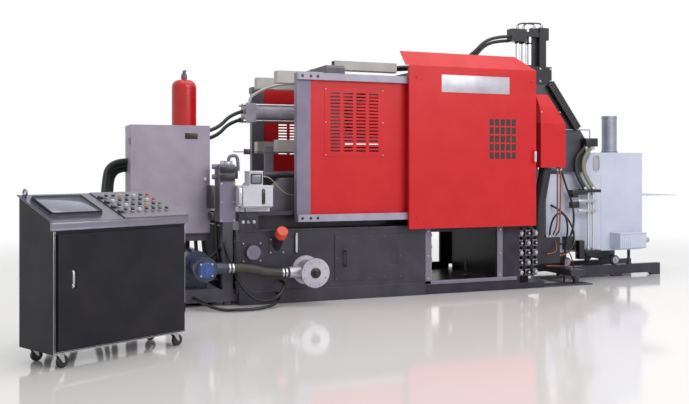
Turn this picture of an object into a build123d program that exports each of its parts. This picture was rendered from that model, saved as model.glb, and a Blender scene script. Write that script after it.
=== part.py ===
from build123d import *
import math
import os

# A horizontal die casting machine with its furnace, electric cabinet and console.
# X runs from the clamping end to the furnace, Y from the operator's side to the
# back and Z up. X 0 is the die face of the fixed platen, Y 0 the centre plane and
# Z 0 the floor. Sizes are in millimetres.

# Clearances
fit_gap = 0.3
run_gap = 8

# Platens and tie bars
centre_height = 1708
platen_width = 880
fixed_platen_thick = 220
moving_platen_thick = 220
rear_platen_thick = 180
die_space = 680
toggle_space = 820
tie_bar_diameter = 76
tie_bar_pitch_y = 670
tie_bar_pitch_z = 636
tie_nut_diameter = 98
tie_nut_length = 60
platen_foot_width = 240
shoe_height = 60
nozzle_bore_diameter = 160
platen_chamfer = 25
tie_bar_end = 15

# Tie bar covers and clamp cylinder
cover_side = 112
cover_length = 466
cover_wall = 5
cylinder_diameter = 130
cylinder_length = 584
cylinder_cap_side = 180
cylinder_cap_length = 98
cylinder_flange_diameter = 200
cylinder_flange_thick = 30
piston_rod_diameter = 60

# Toggle mechanism
pin_diameter = 56
link_end_diameter = 120
link_thick = 46
short_link_thick = 30
short_link_diameter = 90
link_gap = 2
link_set_y = 170
toggle_spread = 250
knee_spread = 292
knee_setback = 309
lug_reach = 74
crosshead_offset = 180
crosshead_length = 130
crosshead_height = 220
crosshead_width = 130
crosshead_pin_spread = 50

# Bed
bed_half_width = 740
bed_top = 650
tank_length = 1784
portal_length = 1035
base_plate_thick = 60
base_plate_reach = 292
side_plate_thick = 30
plinth_height = 116
plinth_step = 12
flange_thick = 16
flange_step = 14
opening_left = 66
opening_right = 254
opening_sill = 129
opening_head = 584
pedestal_half_width = 560
deck_top = 805
deck_thick = 35
deck_setback = 40
deck_beam_inset = 130
deck_rail_width = 140
deck_window_half_width = 300
deck_window_end = 40
back_opening_right = 110
deck_corner_depth = 220

# Levelling feet under the furnace end
foot_x = 720
foot_y = 660
foot_top_diameter = 92
foot_bottom_diameter = 54
foot_height = 80
floor_plate_thick = 12
floor_plate_length = 578
floor_plate_width = 180

# Access panel, gauge, filler and port on the oil tank
panel_from_end = 881
panel_width = 664
panel_sill = 171
panel_height = 408
panel_thick = 8
handle_bar = 16
handle_reach = 45
bar_handle_inset = 97
bar_handle_z = 373
bar_handle_length = 162
pull_inset = 526
pull_width = 91
pull_sill = 298
pull_height = 169
gauge_from_end = 517
gauge_sill = 447
gauge_height = 158
gauge_width = 34
filler_from_end = 340
filler_z = 505
filler_plate_width = 140
filler_neck_diameter = 78
filler_cap_diameter = 98
filler_cap_length = 62
filler_reach = 120
filler_lift = 100
port_from_end = 114
port_z = 457
port_diameter = 125
port_plate = 180
valve_block_length = 170
valve_block_height = 139

# Suction strainer
strainer_from_end = 600
strainer_z = 286
strainer_diameter = 196
strainer_disc_diameter = 252
strainer_reach = 260
strainer_disc_thick = 26
elbow_reach = 190
elbow_drop = 2
elbow_diameter = 80

# Rear frame
frame_reach = 881
frame_front = 700
frame_back = 300
beam_width = 80
beam_low = 36
beam_high = 138
pad_diameter = 80
upright_side = 60
upright_reach = 471
cabinet_floor = 619
shelf_thick = 12
shelf_beam = 60
pump_plate_width = 330
pump_plate_thick = 12
post_side = 90

# Pump
pump_from_end = 330
pump_z = 343
motor_diameter = 250
motor_length = 440
motor_foot_thick = 92
motor_foot_half = 100
fan_share = 0.92
pump_diameter = 150
pump_flange_thick = 26
pump_length = 380
pump_front = 960
pump_port_reach = 180

# Valve column
valve_column_from_end = 157
valve_column_width = 137
valve_column_low = 719
valve_plate_top = 1065
valve_column_top = 1215
valve_column_depth = 200
valve_plate_thick = 12

# Lubricator
lubricator_from_end = 22
lubricator_width = 265
lubricator_low = 857
lubricator_tank_height = 175
lubricator_front = 800
lubricator_depth = 190
lubricator_head_width = 118
lubricator_head_height = 124
lubricator_side_width = 40

# Rear saddle and guide bar
saddle_reach = 588
saddle_drop = 173
saddle_thick = 140
saddle_inner = 420
saddle_corner = 120
guide_bar_diameter = 60
guide_bar_y = 325
guide_bar_drop = 583
guide_bar_reach = 570
bracket_width = 80
bracket_drop = 321

# Electric cabinet
cabinet_width = 682
cabinet_depth = 350
cabinet_height = 937
cabinet_front = 500
cabinet_wall = 4
cabinet_lip = 24
cabinet_door_thick = 22
door_seat_gap = 0.5
hinge_pin_diameter = 8
hinge_barrel_diameter = 18
hinge_length = 60
hinge_leaf_thick = 5
hinge_inset = 110
lock_diameter = 22
lock_reach = 10

# Accumulator
accumulator_from_end = 329
accumulator_diameter = 226
accumulator_low = 720
accumulator_shoulder = 2000
accumulator_round = 68
accumulator_top = 2052
accumulator_neck_diameter = 46

# Guards
guard_half_width = 780
sheet = 3
post_width = 85
post_reach = 406
post_front_width = 125
guard_right = 105
fixed_panel_lap = 317
rail_depth = 40
rail_height = 62
bottom_rail_low = 713
top_rail_low = 1964
louvre_inset = 130
louvre_width = 580
louvre_low = 1290
louvre_height = 612
louvre_margin = 57
slot_columns = 4
slot_rows = 18
slot_width = 92
slot_height = 13

# Sliding guard door
door_width = 1362
door_low = 627
door_fold = 2127
door_face = 870
door_return = 34
hood_top = 2270
hood_lean = 130
hood_overhang = 37
hood_mitre = 159
grille_left = -424
grille_low = 1264
grille_columns = 5
grille_rows = 5
grille_hole_width = 46
grille_hole_height = 64
grille_bar_width = 15
pane_thick = 5
pane_margin = 22
shoe_length = 80
shoe_thick = 30
shoe_inset = 170
door_handle_low = 1233
door_handle_length = 126
door_handle_bar = 16
door_handle_reach = 34
door_handle_inset = 30

# Cable trunking over the toggle
trunking_inset = 227
trunking_length = 674
trunking_width = 90
trunking_height = 89
trunking_wall = 3
trunking_bar_width = 60
trunking_bar_thick = 6

# Injection frame and shot cylinder
cheek_thick = 30
cheek_low = 1143
cheek_step = 1290
cheek_top = 2030
cheek_peak_x = 598
cheek_peak_z = 2047
cheek_nose_x = 1012
cheek_nose_z = 1481
cheek_heel_x = 700
yoke_x = 800
yoke_width = 260
yoke_low = 1400
yoke_thick = 60
shot_diameter = 170
shot_length = 430
shot_cap_side = 210
shot_cap_thick = 50
plunger_diameter = 60
plunger_coupling = 90
coupling_length = 80

# Nozzle guard
nozzle_guard_width = 290
nozzle_guard_low = 1190
nozzle_guard_fold = 1627
nozzle_guard_brow = 1792
nozzle_guard_top = 1928
nozzle_guard_inset = 52
nozzle_guard_lean = 90
nozzle_guard_top_inset = 20
nozzle_guard_top_lean = 110

# Mast
mast_y = -215
mast_width = 100
mast_base_drop = 190
mast_base_height = 296
mast_base_right = 706
mast_column_left = 556
mast_column_width = 81
mast_column_top = 2665
mast_back_left = 490
mast_stop_width = 34
mast_stop_height = 130
mast_head_left = 217
mast_head_width = 182
mast_head_low = 2508
mast_head_height = 130
mast_arm_low = 2565
mast_arm_thick = 50
mast_block_left = 457
mast_block_width = 90
mast_block_height = 38
mast_rod_x = 314
mast_rod_diameter = 43
mast_tube_x = 387
mast_tube_diameter = 56
mast_cylinder_x = 460
mast_cylinder_diameter = 54

# Hydraulics under the nozzle
manifold_low = 110
manifold_height = 480
manifold_depth = 90
manifold_bar_width = 60
manifold_bar_pitch = 84
manifold_bars = 3
manifold_left = 2
valve_size = 44
valve_rows = 5
duct_diameter = 125
duct_foot_x = 305
duct_foot_y = -610
duct_head_x = 428
duct_head_y = -640
duct_head_rise = 290
duct_rise = 300
service_box_left = 236
service_box_width = 288
service_box_low = 229
service_box_height = 260
service_box_half_depth = 110
service_arm_width = 80

# Spray hoses beside the furnace
spray_block_left = 942
spray_block_width = 148
spray_block_depth = 100
spray_block_low = 1410
spray_block_height = 86
spray_clamp_left = 930
spray_clamp_width = 200
spray_clamp_low = 930
spray_clamp_height = 32
spray_tops = (960, 996, 1034, 1071)
spray_bows = (852, 892, 946, 988)
spray_feet = (950, 990, 1054, 1096)
spray_bow_share = 0.45
spray_slant = 0.7
spray_hose_diameter = 33
spray_rods = (1001, 1064)
spray_rod_diameter = 22
spray_foot_height = 25
spray_row_step = 36

# Cable chain along the cheek's slope
chain_width = 170
chain_depth = 62
chain_low = 1562

# Furnace
furnace_left = 542
furnace_length = 1239
furnace_half_width = 400
furnace_low = 302
furnace_top = 1350
furnace_ledge = 1120
furnace_step = 1240
cover_toe = 980
cover_brow = 1110
cover_port_height = 150
cover_port_width = 60
pot_x = 800
pot_diameter = 350
pot_wall = 30
pot_rise = 20
flue_x = 1660
flue_diameter = 165
flue_top = 1770
flue_wall = 3
flue_collar = 30
burner_left = 1356
burner_length = 343
burner_side = 165
burner_low = 327
burner_pipe_reach = 94
burner_pipe_diameter = 34
furnace_shelf_low = 880
furnace_shelf_reach = 560
furnace_shelf_root = 14
furnace_shelf_tip = 6
furnace_shelf_half_width = 300

# Furnace carriage and rails
rail_y = 240
rail_beam_width = 60
rail_beam_low = 27
rail_beam_high = 128
cross_beam_width = 160
cross_beam_height = 60
cross_beam_half_length = 700
rail_beam_right = 2142
wedge_length = 150
wheel_front_x = 1536
wheel_back_x = 900
carriage_wheel_diameter = 102
carriage_wheel_width = 50
axle_diameter = 30
carriage_beam_width = 70
jack_x = 1767
jack_diameter = 34
jack_pad = 60

# Console, standing by itself and turned towards the operator
console_x = -4432
console_y = -2724
console_turn = 28
console_width = 975
console_depth = 400
console_low = 93
console_lip = 872
console_back = 1017
console_wall = 3
console_door_margin = 24
console_door_lap = 10
console_door_thick = 20
console_door_low = 118
console_door_high = 795
console_pull_width = 30
console_pull_height = 110
console_pull_inset = 90
console_pull_low = 470
desk_overhang = 18
desk_thick = 4
desk_lip_height = 48
screen_left = 26
screen_width = 345
screen_height = 262
screen_inset = 60
screen_bezel = 16
panel_rise = 6
panel_gap = 3
key_rows = 4
key_columns = 7
key_diameter = 24
key_height = 14
key_pitch = 54
key_row_pitch = 76
key_inset = 66
key_margin = 52
eye_x = 20
eye_diameter = 48
eye_bar = 10
caster_inset = 60
caster_inset_y = 46
caster_plate = 56
caster_plate_thick = 4
caster_wheel_diameter = 75
caster_wheel_width = 26
caster_offset = 28
caster_fork_thick = 4
caster_axle_diameter = 10
caster_boss_diameter = 16
caster_stem_diameter = 24
caster_side_gap = 2

# Hoses and cables: diameters and the points each route turns at
conduit_diameter = 50
clamp_conduit_diameter = 34
gland_length = 30
gland_diameter = 48
hose_diameter = 80
cable_diameter = 26

# Places that follow from the sizes
platen_half = platen_width / 2
platen_low = centre_height - platen_half
platen_high = centre_height + platen_half
moving_right = -die_space
moving_left = moving_right - moving_platen_thick
rear_right = moving_left - toggle_space
rear_left = rear_right - rear_platen_thick
tank_right = -portal_length
tank_left = tank_right - tank_length
deck_half_width = bed_half_width - deck_setback
beam_outer = deck_half_width - deck_beam_inset
panel_left = tank_left + panel_from_end
bar_handle_x = panel_left + bar_handle_inset
pull_left = panel_left + pull_inset
gauge_x = tank_left + gauge_from_end
filler_x = tank_left + filler_from_end
port_x = tank_left + port_from_end
strainer_x = tank_left + strainer_from_end
hose_y = -bed_half_width - strainer_reach / 2
frame_left = tank_left - frame_reach
upright_right = tank_left - upright_reach
pump_x = tank_left - pump_from_end
valve_column_x = tank_left - valve_column_from_end
lubricator_x = tank_left + lubricator_from_end
accumulator_x = tank_left - accumulator_from_end
saddle_left = rear_left - saddle_reach
saddle_top = platen_low - saddle_drop
guide_bar_left = rear_left - guide_bar_reach
guide_bar_z = centre_height - guide_bar_drop
post_left = rear_left - post_reach
trunking_left = rear_left + trunking_inset
mast_base_low = platen_high - mast_base_drop
mast_base_top = mast_base_low + mast_base_height
cylinder_cap_left = rear_left - cylinder_length - cylinder_cap_length
top_rail_high = top_rail_low + rail_height
rail_front = guard_half_width + rail_depth
door_right = guard_right
door_left = door_right - door_width
fixed_panel_right = door_left + fixed_panel_lap
furnace_right = furnace_left + furnace_length


def block(x0, x1, y0, y1, z0, z1):
    """A box between two corners."""
    return Pos((x0 + x1) / 2, (y0 + y1) / 2, (z0 + z1) / 2) * Box(x1 - x0, y1 - y0, z1 - z0)


def rod_x(x0, x1, y, z, diameter):
    """A round bar along X."""
    return Pos((x0 + x1) / 2, y, z) * Rot(0, 90, 0) * Cylinder(diameter / 2, x1 - x0)


def rod_y(x, y0, y1, z, diameter):
    """A round bar along Y."""
    return Pos(x, (y0 + y1) / 2, z) * Rot(90, 0, 0) * Cylinder(diameter / 2, y1 - y0)


def rod_z(x, y, z0, z1, diameter):
    """A round bar along Z."""
    return Pos(x, y, (z0 + z1) / 2) * Cylinder(diameter / 2, z1 - z0)


def profile_y(points, y0, y1):
    """An outline of (x, z) points carried from y0 to y1."""
    outline = Polyline([(x, y0, z) for x, z in points], close=True)
    return extrude(make_face(outline), amount=y1 - y0, dir=(0, 1, 0))


def profile_x(points, x0, x1):
    """An outline of (y, z) points carried from x0 to x1."""
    outline = Polyline([(x0, y, z) for y, z in points], close=True)
    return extrude(make_face(outline), amount=x1 - x0, dir=(1, 0, 0))


def across(piece):
    """The same piece on the other side of the centre plane."""
    return mirror(piece, about=Plane.XZ)


def hose(points, diameter):
    """A round tube of straight runs joined by arcs as large as the runs allow."""
    places = [Vector(*point) for point in points]
    radii = []
    for before, corner, after in zip(places, places[1:], places[2:]):
        turn = (corner - before).get_angle(after - corner)
        shorter = min((corner - before).length, (after - corner).length)
        radii.append(0.45 * shorter / math.tan(math.radians(turn / 2)))
    path = FilletPolyline(*points, radius=radii)
    start = Plane(origin=path @ 0, z_dir=path % 0)
    print("radii", [round(radius) for radius in radii], "length", round(path.length))
    return sweep(start * Circle(diameter / 2), path=path)


def toward(start, end, distance):
    """The point at a distance from one point towards another."""
    step = (Vector(*end) - Vector(*start)).normalized() * distance
    return tuple(Vector(*start) + step)


def gland(root, tip):
    """A slanted gland stub that carries a hose off a wall."""
    axis = Plane(origin=root, z_dir=Vector(*tip) - Vector(*root))
    middle = (gland_length - gland_diameter) / 2
    return axis * Pos(0, 0, middle) * Cylinder(gland_diameter / 2, gland_length + gland_diameter)


# Bed

def oil_tank():
    """The tank that carries the clamping end, with its plinth and top flange."""
    half = bed_half_width
    body = block(tank_left, tank_right, -half, half, 0, bed_top)
    plinth_half = half + plinth_step
    body += block(tank_left, tank_right, -plinth_half, plinth_half, 0, plinth_height)
    flange_half = half + flange_step
    body += block(tank_left, tank_right, -flange_half, flange_half, bed_top - flange_thick, bed_top)
    return [body]


def bed_portal():
    """The open frame under the die space, where castings drop out at the side."""
    half = bed_half_width
    inner = half - side_plate_thick
    left = tank_right + opening_left
    window_end = -deck_window_end
    portal = block(tank_right, base_plate_reach, -half, half, 0, base_plate_thick)
    for y, right in ((-half, -opening_right), (inner, -back_opening_right)):
        side = block(tank_right, 0, y, y + side_plate_thick, base_plate_thick, bed_top)
        side -= block(left, right, y - 1, y + side_plate_thick + 1, opening_sill, opening_head)
        portal += side
    portal += block(window_end, fixed_platen_thick, -pedestal_half_width, pedestal_half_width,
                    base_plate_thick, bed_top)
    tie = block(tank_right, window_end, -inner, inner, bed_top - flange_thick, bed_top)
    tie -= block(left, window_end + 1, -deck_window_half_width, deck_window_half_width,
                 bed_top - flange_thick - 1, bed_top + 1)
    return [portal + tie]


def bed_deck():
    """The deck under the platens, on two beams set back, with its window over the portal."""
    right = base_plate_reach
    left = tank_left
    plate = block(left, right, -deck_half_width, deck_half_width, deck_top - deck_thick, deck_top)
    plate -= block(moving_right + deck_window_end, -deck_window_end,
                   -deck_window_half_width, deck_window_half_width,
                   deck_top - deck_thick - 1, deck_top + 1)
    plate -= block(fixed_platen_thick, right + 1, -deck_half_width - 1, deck_corner_depth - deck_half_width,
                   deck_top - deck_thick - 1, deck_top + 1)
    beam = block(left, fixed_platen_thick, -beam_outer, deck_rail_width - beam_outer,
                 bed_top, deck_top - deck_thick)
    return [plate + beam + across(beam)]


def levelling_feet():
    """Floor plates beside the base plate, each with a conical foot under the cross beam."""
    left = base_plate_reach
    outer = bed_half_width
    plate = block(left, left + floor_plate_length, -outer, floor_plate_width - outer,
                  0, floor_plate_thick)
    cone = Pos(foot_x, -foot_y, floor_plate_thick + foot_height / 2)
    cone *= Cone(foot_bottom_diameter / 2, foot_top_diameter / 2, foot_height)
    foot = plate + cone
    return [foot, across(foot)]


def tank_fittings():
    """Access panel, sight gauge, filler, blind port and valve block on the tank's front."""
    face = -bed_half_width
    panel = block(panel_left, panel_left + panel_width, face - panel_thick, face,
                  panel_sill, panel_sill + panel_height)
    pull = block(pull_left, pull_left + pull_width, face - panel_thick - 1, face - panel_thick / 2,
                 pull_sill, pull_sill + pull_height)
    panel -= pull
    grip_y = face - panel_thick - handle_reach
    low = bar_handle_z - bar_handle_length / 2
    high = bar_handle_z + bar_handle_length / 2
    panel += rod_z(bar_handle_x, grip_y, low, high, handle_bar)
    for z in (low + handle_bar, high - handle_bar):
        panel += rod_y(bar_handle_x, grip_y, face - panel_thick, z, handle_bar)
    gauge = block(gauge_x - gauge_width / 2, gauge_x + gauge_width / 2,
                  face - gauge_width / 2, face, gauge_sill, gauge_sill + gauge_height)
    port = rod_y(port_x, face - port_diameter / 2, face, port_z, port_diameter)
    port += square_plate(port_x, port_z, port_plate)
    valves = block(tank_left, tank_left + valve_block_length, face, -deck_half_width,
                   bed_top, bed_top + valve_block_height)
    valves += block(tank_left, tank_left + valve_block_length, -deck_half_width, -beam_outer,
                    bed_top, deck_top - deck_thick)
    return [panel, gauge, filler(), port, valves]


def square_plate(x, z, side):
    """A square mounting plate on the tank's front."""
    half = side / 2
    face = -bed_half_width
    return block(x - half, x + half, face - panel_thick, face, z - half, z + half)


def filler():
    """The slanted filler neck with its cap, cut to the tank's face."""
    face = -bed_half_width
    axis = Plane(origin=(filler_x, face, filler_z), z_dir=(0, -filler_reach, filler_lift))
    length = math.hypot(filler_reach, filler_lift)
    root = filler_neck_diameter
    neck = axis * Pos(0, 0, (length - root) / 2) * Cylinder(filler_neck_diameter / 2, length + root)
    neck += axis * Pos(0, 0, length + filler_cap_length / 2) * Cylinder(filler_cap_diameter / 2,
                                                                        filler_cap_length)
    neck -= block(filler_x - root, filler_x + root, face, face + 2 * root,
                  filler_z - 2 * root, filler_z + root)
    return neck + square_plate(filler_x, filler_z, filler_plate_width)


def suction_strainer():
    """The strainer housing bolted to the tank, with its cover disc and side elbow."""
    face = -bed_half_width
    end = face - strainer_reach
    flange = rod_y(strainer_x, face - strainer_disc_thick, face, strainer_z, strainer_disc_diameter)
    barrel = rod_y(strainer_x, end, face, strainer_z, strainer_diameter)
    disc = rod_y(strainer_x, end - strainer_disc_thick, end, strainer_z, strainer_disc_diameter)
    hub = rod_y(strainer_x, end - 2 * strainer_disc_thick, end, strainer_z, strainer_disc_thick)
    elbow = rod_x(strainer_x - elbow_reach, strainer_x, hose_y, strainer_z - elbow_drop,
                  elbow_diameter + 2 * panel_thick)
    return [flange + barrel + disc + hub + elbow]


# Rear frame, pump and oil supply

def rear_frame():
    """Floor frame behind the tank, with the stands for cabinet, accumulator and valves."""
    front = -frame_front
    right = tank_left
    frame = block(frame_left, right, front, front + beam_width, beam_low, beam_high)
    frame += block(frame_left, right, frame_back - beam_width, frame_back, beam_low, beam_high)
    frame += block(frame_left, right, -beam_width / 2, beam_width / 2, beam_low, beam_high)
    frame += block(frame_left, frame_left + beam_width, front, frame_back, beam_low, beam_high)
    for x in (frame_left + beam_width / 2, right - beam_width):
        for y in (front + beam_width / 2, frame_back - beam_width / 2):
            frame += rod_z(x, y, 0, beam_low, pad_diameter)
    shelf_low = cabinet_floor - shelf_thick
    back = cabinet_depth - cabinet_front
    frame += block(frame_left, frame_left + cabinet_width, -cabinet_front, back, shelf_low, cabinet_floor)
    cross_low = shelf_low - shelf_beam
    for y in (-cabinet_front + upright_side, back - upright_side):
        frame += block(frame_left, frame_left + cabinet_width, y - upright_side / 2,
                       y + upright_side / 2, cross_low, shelf_low)
        for x in (frame_left, upright_right - upright_side):
            frame += block(x, x + upright_side, y - upright_side / 2, y + upright_side / 2,
                           beam_low, cross_low)
    frame += block(upright_right - upright_side, upright_right, front, frame_back, beam_low, beam_high)
    half = pump_plate_width / 2
    frame += block(pump_x - half, pump_x + half, front, beam_width / 2,
                   beam_high, beam_high + pump_plate_thick)
    half = post_side / 2
    plate_top = beam_high + pump_plate_thick
    frame += block(accumulator_x - half, accumulator_x + half, -beam_width / 2, beam_width / 2,
                   plate_top, accumulator_low - shelf_thick)
    frame += rod_z(accumulator_x, 0, accumulator_low - shelf_thick, accumulator_low, accumulator_diameter)
    middle = valve_column_x + valve_column_width / 2
    frame += block(middle - half, middle + half, front, front + beam_width,
                   beam_high, valve_column_low)
    return [frame]


def pump_motor():
    """The motor on its feet with the vane pump in front of it, ports to the right."""
    front = -pump_front
    joint = front + pump_length
    back = joint + motor_length
    motor = rod_y(pump_x, joint, back, pump_z, motor_diameter)
    motor += rod_y(pump_x, back, back + motor_length / 6, pump_z, motor_diameter * fan_share)
    plate_top = beam_high + pump_plate_thick
    half = motor_foot_thick / 2
    for y in (joint + motor_length / 5, back - motor_length / 5):
        motor += block(pump_x - motor_foot_half, pump_x + motor_foot_half, y - half, y + half,
                       plate_top, pump_z)
    pump = rod_y(pump_x, front, joint, pump_z, pump_diameter)
    flange = front + pump_flange_thick
    pump += rod_y(pump_x, flange, flange + 2 * pump_flange_thick, pump_z,
                  pump_diameter + 2 * pump_flange_thick)
    pump += rod_x(pump_x, pump_x + pump_port_reach, hose_y, pump_z, elbow_diameter + 2 * panel_thick)
    return [motor + pump]


def valve_column():
    """Valve stack on its post, with a cover plate to the front."""
    left = valve_column_x
    right = left + valve_column_width
    front = -frame_front
    back = front + valve_column_depth
    stack = block(left, right, front + valve_plate_thick, back, valve_column_low, valve_column_top)
    stack += block(left, right, front, front + valve_plate_thick, valve_column_low, valve_plate_top)
    for row in range(2):
        z = valve_plate_top + valve_size + row * 2 * valve_size
        stack += rod_x(left - valve_size, right, front + valve_column_depth / 2, z, valve_size)
    return [stack]


def lubricator():
    """The central lubricator: oil tank, pump head and side unit on a bracket."""
    front = -lubricator_front
    back = front + lubricator_depth
    left = lubricator_x
    right = left + lubricator_width
    tank_high = lubricator_low + lubricator_tank_height
    unit = block(left, right, front, back, lubricator_low, tank_high)
    middle = left + lubricator_head_width
    unit += block(middle - lubricator_head_width / 2, middle + lubricator_head_width / 2,
                  front + shelf_thick, back - shelf_thick, tank_high, tank_high + lubricator_head_height)
    unit += block(left - lubricator_side_width, left, front + 2 * shelf_thick, back,
                  lubricator_low, tank_high)
    unit += block(left, right, front + 2 * shelf_thick, -deck_half_width + lubricator_depth,
                  lubricator_low - shelf_thick, lubricator_low)
    unit += block(left, right, -deck_half_width, shelf_thick - deck_half_width,
                  deck_top, lubricator_low - shelf_thick)
    return [unit]


def accumulator():
    """The nitrogen bottle with its round shoulder and its neck."""
    bottle = rod_z(accumulator_x, 0, accumulator_low, accumulator_shoulder, accumulator_diameter)
    rim = bottle.edges().filter_by(GeomType.CIRCLE).sort_by(Axis.Z)[-1]
    bottle = fillet(rim, accumulator_round)
    return [bottle + rod_z(accumulator_x, 0, accumulator_shoulder, accumulator_top,
                           accumulator_neck_diameter)]


# Hinges, cabinet

def hinge(x, y, z, body_leaf, door_leaf):
    """A lift-off hinge: pin half for the body below, socket half for the door above."""
    middle = z + hinge_length / 2
    top = z + hinge_length
    pin_half = rod_z(x, y, z, middle - fit_gap, hinge_barrel_diameter)
    pin_half += block(*body_leaf, z, middle - fit_gap)
    pin_half += rod_z(x, y, z, top, hinge_pin_diameter)
    socket = rod_z(x, y, middle, top, hinge_barrel_diameter)
    socket += block(*door_leaf, middle, top)
    socket -= rod_z(x, y, middle - 1, top + 1, hinge_pin_diameter + 2 * fit_gap)
    return pin_half, socket


cabinet_left = frame_left
cabinet_right = cabinet_left + cabinet_width
cabinet_top = cabinet_floor + cabinet_height
cabinet_door_back = cabinet_door_thick - cabinet_front
cabinet_body_front = cabinet_door_back + door_seat_gap
cabinet_hinge_x = cabinet_left - hinge_barrel_diameter / 2
cabinet_hinge_y = cabinet_door_back + door_seat_gap / 2


def cabinet_hinges():
    """The two halves of each hinge of the cabinet door."""
    pairs = []
    for z in (cabinet_floor + hinge_inset, cabinet_top - hinge_inset - hinge_length):
        body_leaf = (cabinet_hinge_x, cabinet_left, cabinet_hinge_y + door_seat_gap,
                     cabinet_hinge_y + door_seat_gap + hinge_leaf_thick)
        door_leaf = (cabinet_hinge_x, cabinet_left, cabinet_hinge_y - door_seat_gap - hinge_leaf_thick,
                     cabinet_hinge_y - door_seat_gap)
        pairs.append(hinge(cabinet_hinge_x, cabinet_hinge_y, z, body_leaf, door_leaf))
    return pairs


def cabinet_body():
    """The electric cabinet's hollow case, with the lip its door closes on."""
    back = cabinet_depth - cabinet_front
    wall = cabinet_wall
    case = block(cabinet_left, cabinet_right, cabinet_body_front, back, cabinet_floor, cabinet_top)
    case -= block(cabinet_left + wall, cabinet_right - wall, cabinet_body_front + wall, back - wall,
                  cabinet_floor + wall, cabinet_top - wall)
    lip = cabinet_lip
    case -= block(cabinet_left + lip, cabinet_right - lip, cabinet_body_front - 1,
                  cabinet_body_front + wall + 1, cabinet_floor + lip, cabinet_top - lip)
    for pin_half, socket in cabinet_hinges():
        case += pin_half
    inside = block(cabinet_left, cabinet_right, cabinet_body_front, back, cabinet_floor, cabinet_top)
    for line in clamp_conduit_lines:
        case += gland(line[0], line[1]) - inside
    return [case]


def cabinet_door():
    """The cabinet's folded sheet door with its lock."""
    front = -cabinet_front
    wall = cabinet_wall
    door = block(cabinet_left, cabinet_right, front, cabinet_door_back, cabinet_floor, cabinet_top)
    door -= block(cabinet_left + wall, cabinet_right - wall, front + wall, cabinet_door_back + 1,
                  cabinet_floor + wall, cabinet_top - wall)
    lock_x = cabinet_right - 2 * lock_diameter
    lock_z = (cabinet_floor + cabinet_top) / 2
    door += rod_y(lock_x, front - lock_reach, front + wall, lock_z, lock_diameter)
    for pin_half, socket in cabinet_hinges():
        door += socket
    return [door]


# Clamping end

def tie_bar_places():
    """The (y, z) centres of the four tie bars."""
    half_y = tie_bar_pitch_y / 2
    half_z = tie_bar_pitch_z / 2
    return [(y, centre_height + z) for y in (-half_y, half_y) for z in (-half_z, half_z)]


def platen(x0, x1):
    """A platen on two feet, bored for the tie bars."""
    body = block(x0, x1, -platen_half, platen_half, platen_low, platen_high)
    body = chamfer(body.edges().filter_by(Axis.X), platen_chamfer)
    for y, z in tie_bar_places():
        body -= rod_x(x0 - 1, x1 + 1, y, z, tie_bar_diameter + 2 * fit_gap)
    foot = block(x0, x1, -platen_half, platen_foot_width - platen_half,
                 deck_top, platen_low + platen_chamfer)
    return body + foot + across(foot)


def lug(face_x, pin_x, y, z, thick):
    """A rounded ear from a platen's face to a toggle pin, without its bore."""
    half = thick / 2
    radius = link_end_diameter / 2
    ear = block(min(face_x, pin_x), max(face_x, pin_x), y - half, y + half, z - radius, z + radius)
    return ear + rod_y(pin_x, y - half, y + half, z, link_end_diameter)


toggle_sides = (-1, 1)
rear_pin_x = rear_right + lug_reach
front_pin_x = moving_left - lug_reach
knee_x = rear_pin_x + knee_setback
crosshead_x = knee_x - crosshead_offset
link_step = link_thick + link_gap


def rear_platen():
    """The rear platen with the ears of the rear toggle links."""
    body = platen(rear_left, rear_right)
    body -= rod_x(rear_left - 1, rear_right + 1, 0, centre_height, piston_rod_diameter + 2 * fit_gap)
    for up in toggle_sides:
        z = centre_height + up * toggle_spread
        for side in toggle_sides:
            body += lug(rear_right, rear_pin_x, side * link_set_y, z, link_thick)
        body -= rod_y(rear_pin_x, -platen_half, platen_half, z, pin_diameter + 2 * fit_gap)
    return [body]


def moving_platen():
    """The moving platen with forked ears for the front toggle links and its sliding shoes."""
    body = platen(moving_left, moving_right)
    for up in toggle_sides:
        z = centre_height + up * toggle_spread
        for side in toggle_sides:
            for step in toggle_sides:
                y = side * link_set_y + step * link_step
                body += lug(moving_left, front_pin_x, y, z, link_thick)
        body -= rod_y(front_pin_x, -platen_half, platen_half, z, pin_diameter + 2 * fit_gap)
    shoe = block(moving_left - shoe_height, moving_right + shoe_height / 2, -platen_half,
                 platen_foot_width - platen_half, deck_top, deck_top + shoe_height)
    return [body + shoe + across(shoe)]


def fixed_platen():
    """The fixed platen with the bore for the nozzle."""
    body = platen(0, fixed_platen_thick)
    body -= rod_x(-1, fixed_platen_thick + 1, 0, centre_height, nozzle_bore_diameter)
    return [body]


def tie_bars():
    """Four tie bars, each with a nut against the two outer platens."""
    pieces = []
    for y, z in tie_bar_places():
        left = rear_left - tie_nut_length - tie_bar_end
        right = fixed_platen_thick + tie_nut_length + tie_bar_end
        pieces.append(rod_x(left, right, y, z, tie_bar_diameter))
        for x in (rear_left - tie_nut_length, fixed_platen_thick):
            nut = rod_x(x, x + tie_nut_length, y, z, tie_nut_diameter)
            pieces.append(nut - rod_x(x - 1, x + tie_nut_length + 1, y, z, tie_bar_diameter + 2 * fit_gap))
    return pieces


def tie_bar_covers():
    """Four box covers over the rear ends of the tie bars, open to the rear platen."""
    pieces = []
    half = cover_side / 2
    inner = half - cover_wall
    for y, z in tie_bar_places():
        left = rear_left - cover_length
        cover = block(left, rear_left, y - half, y + half, z - half, z + half)
        cover -= block(left + cover_wall, rear_left + 1, y - inner, y + inner, z - inner, z + inner)
        pieces.append(cover)
    return pieces


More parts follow.
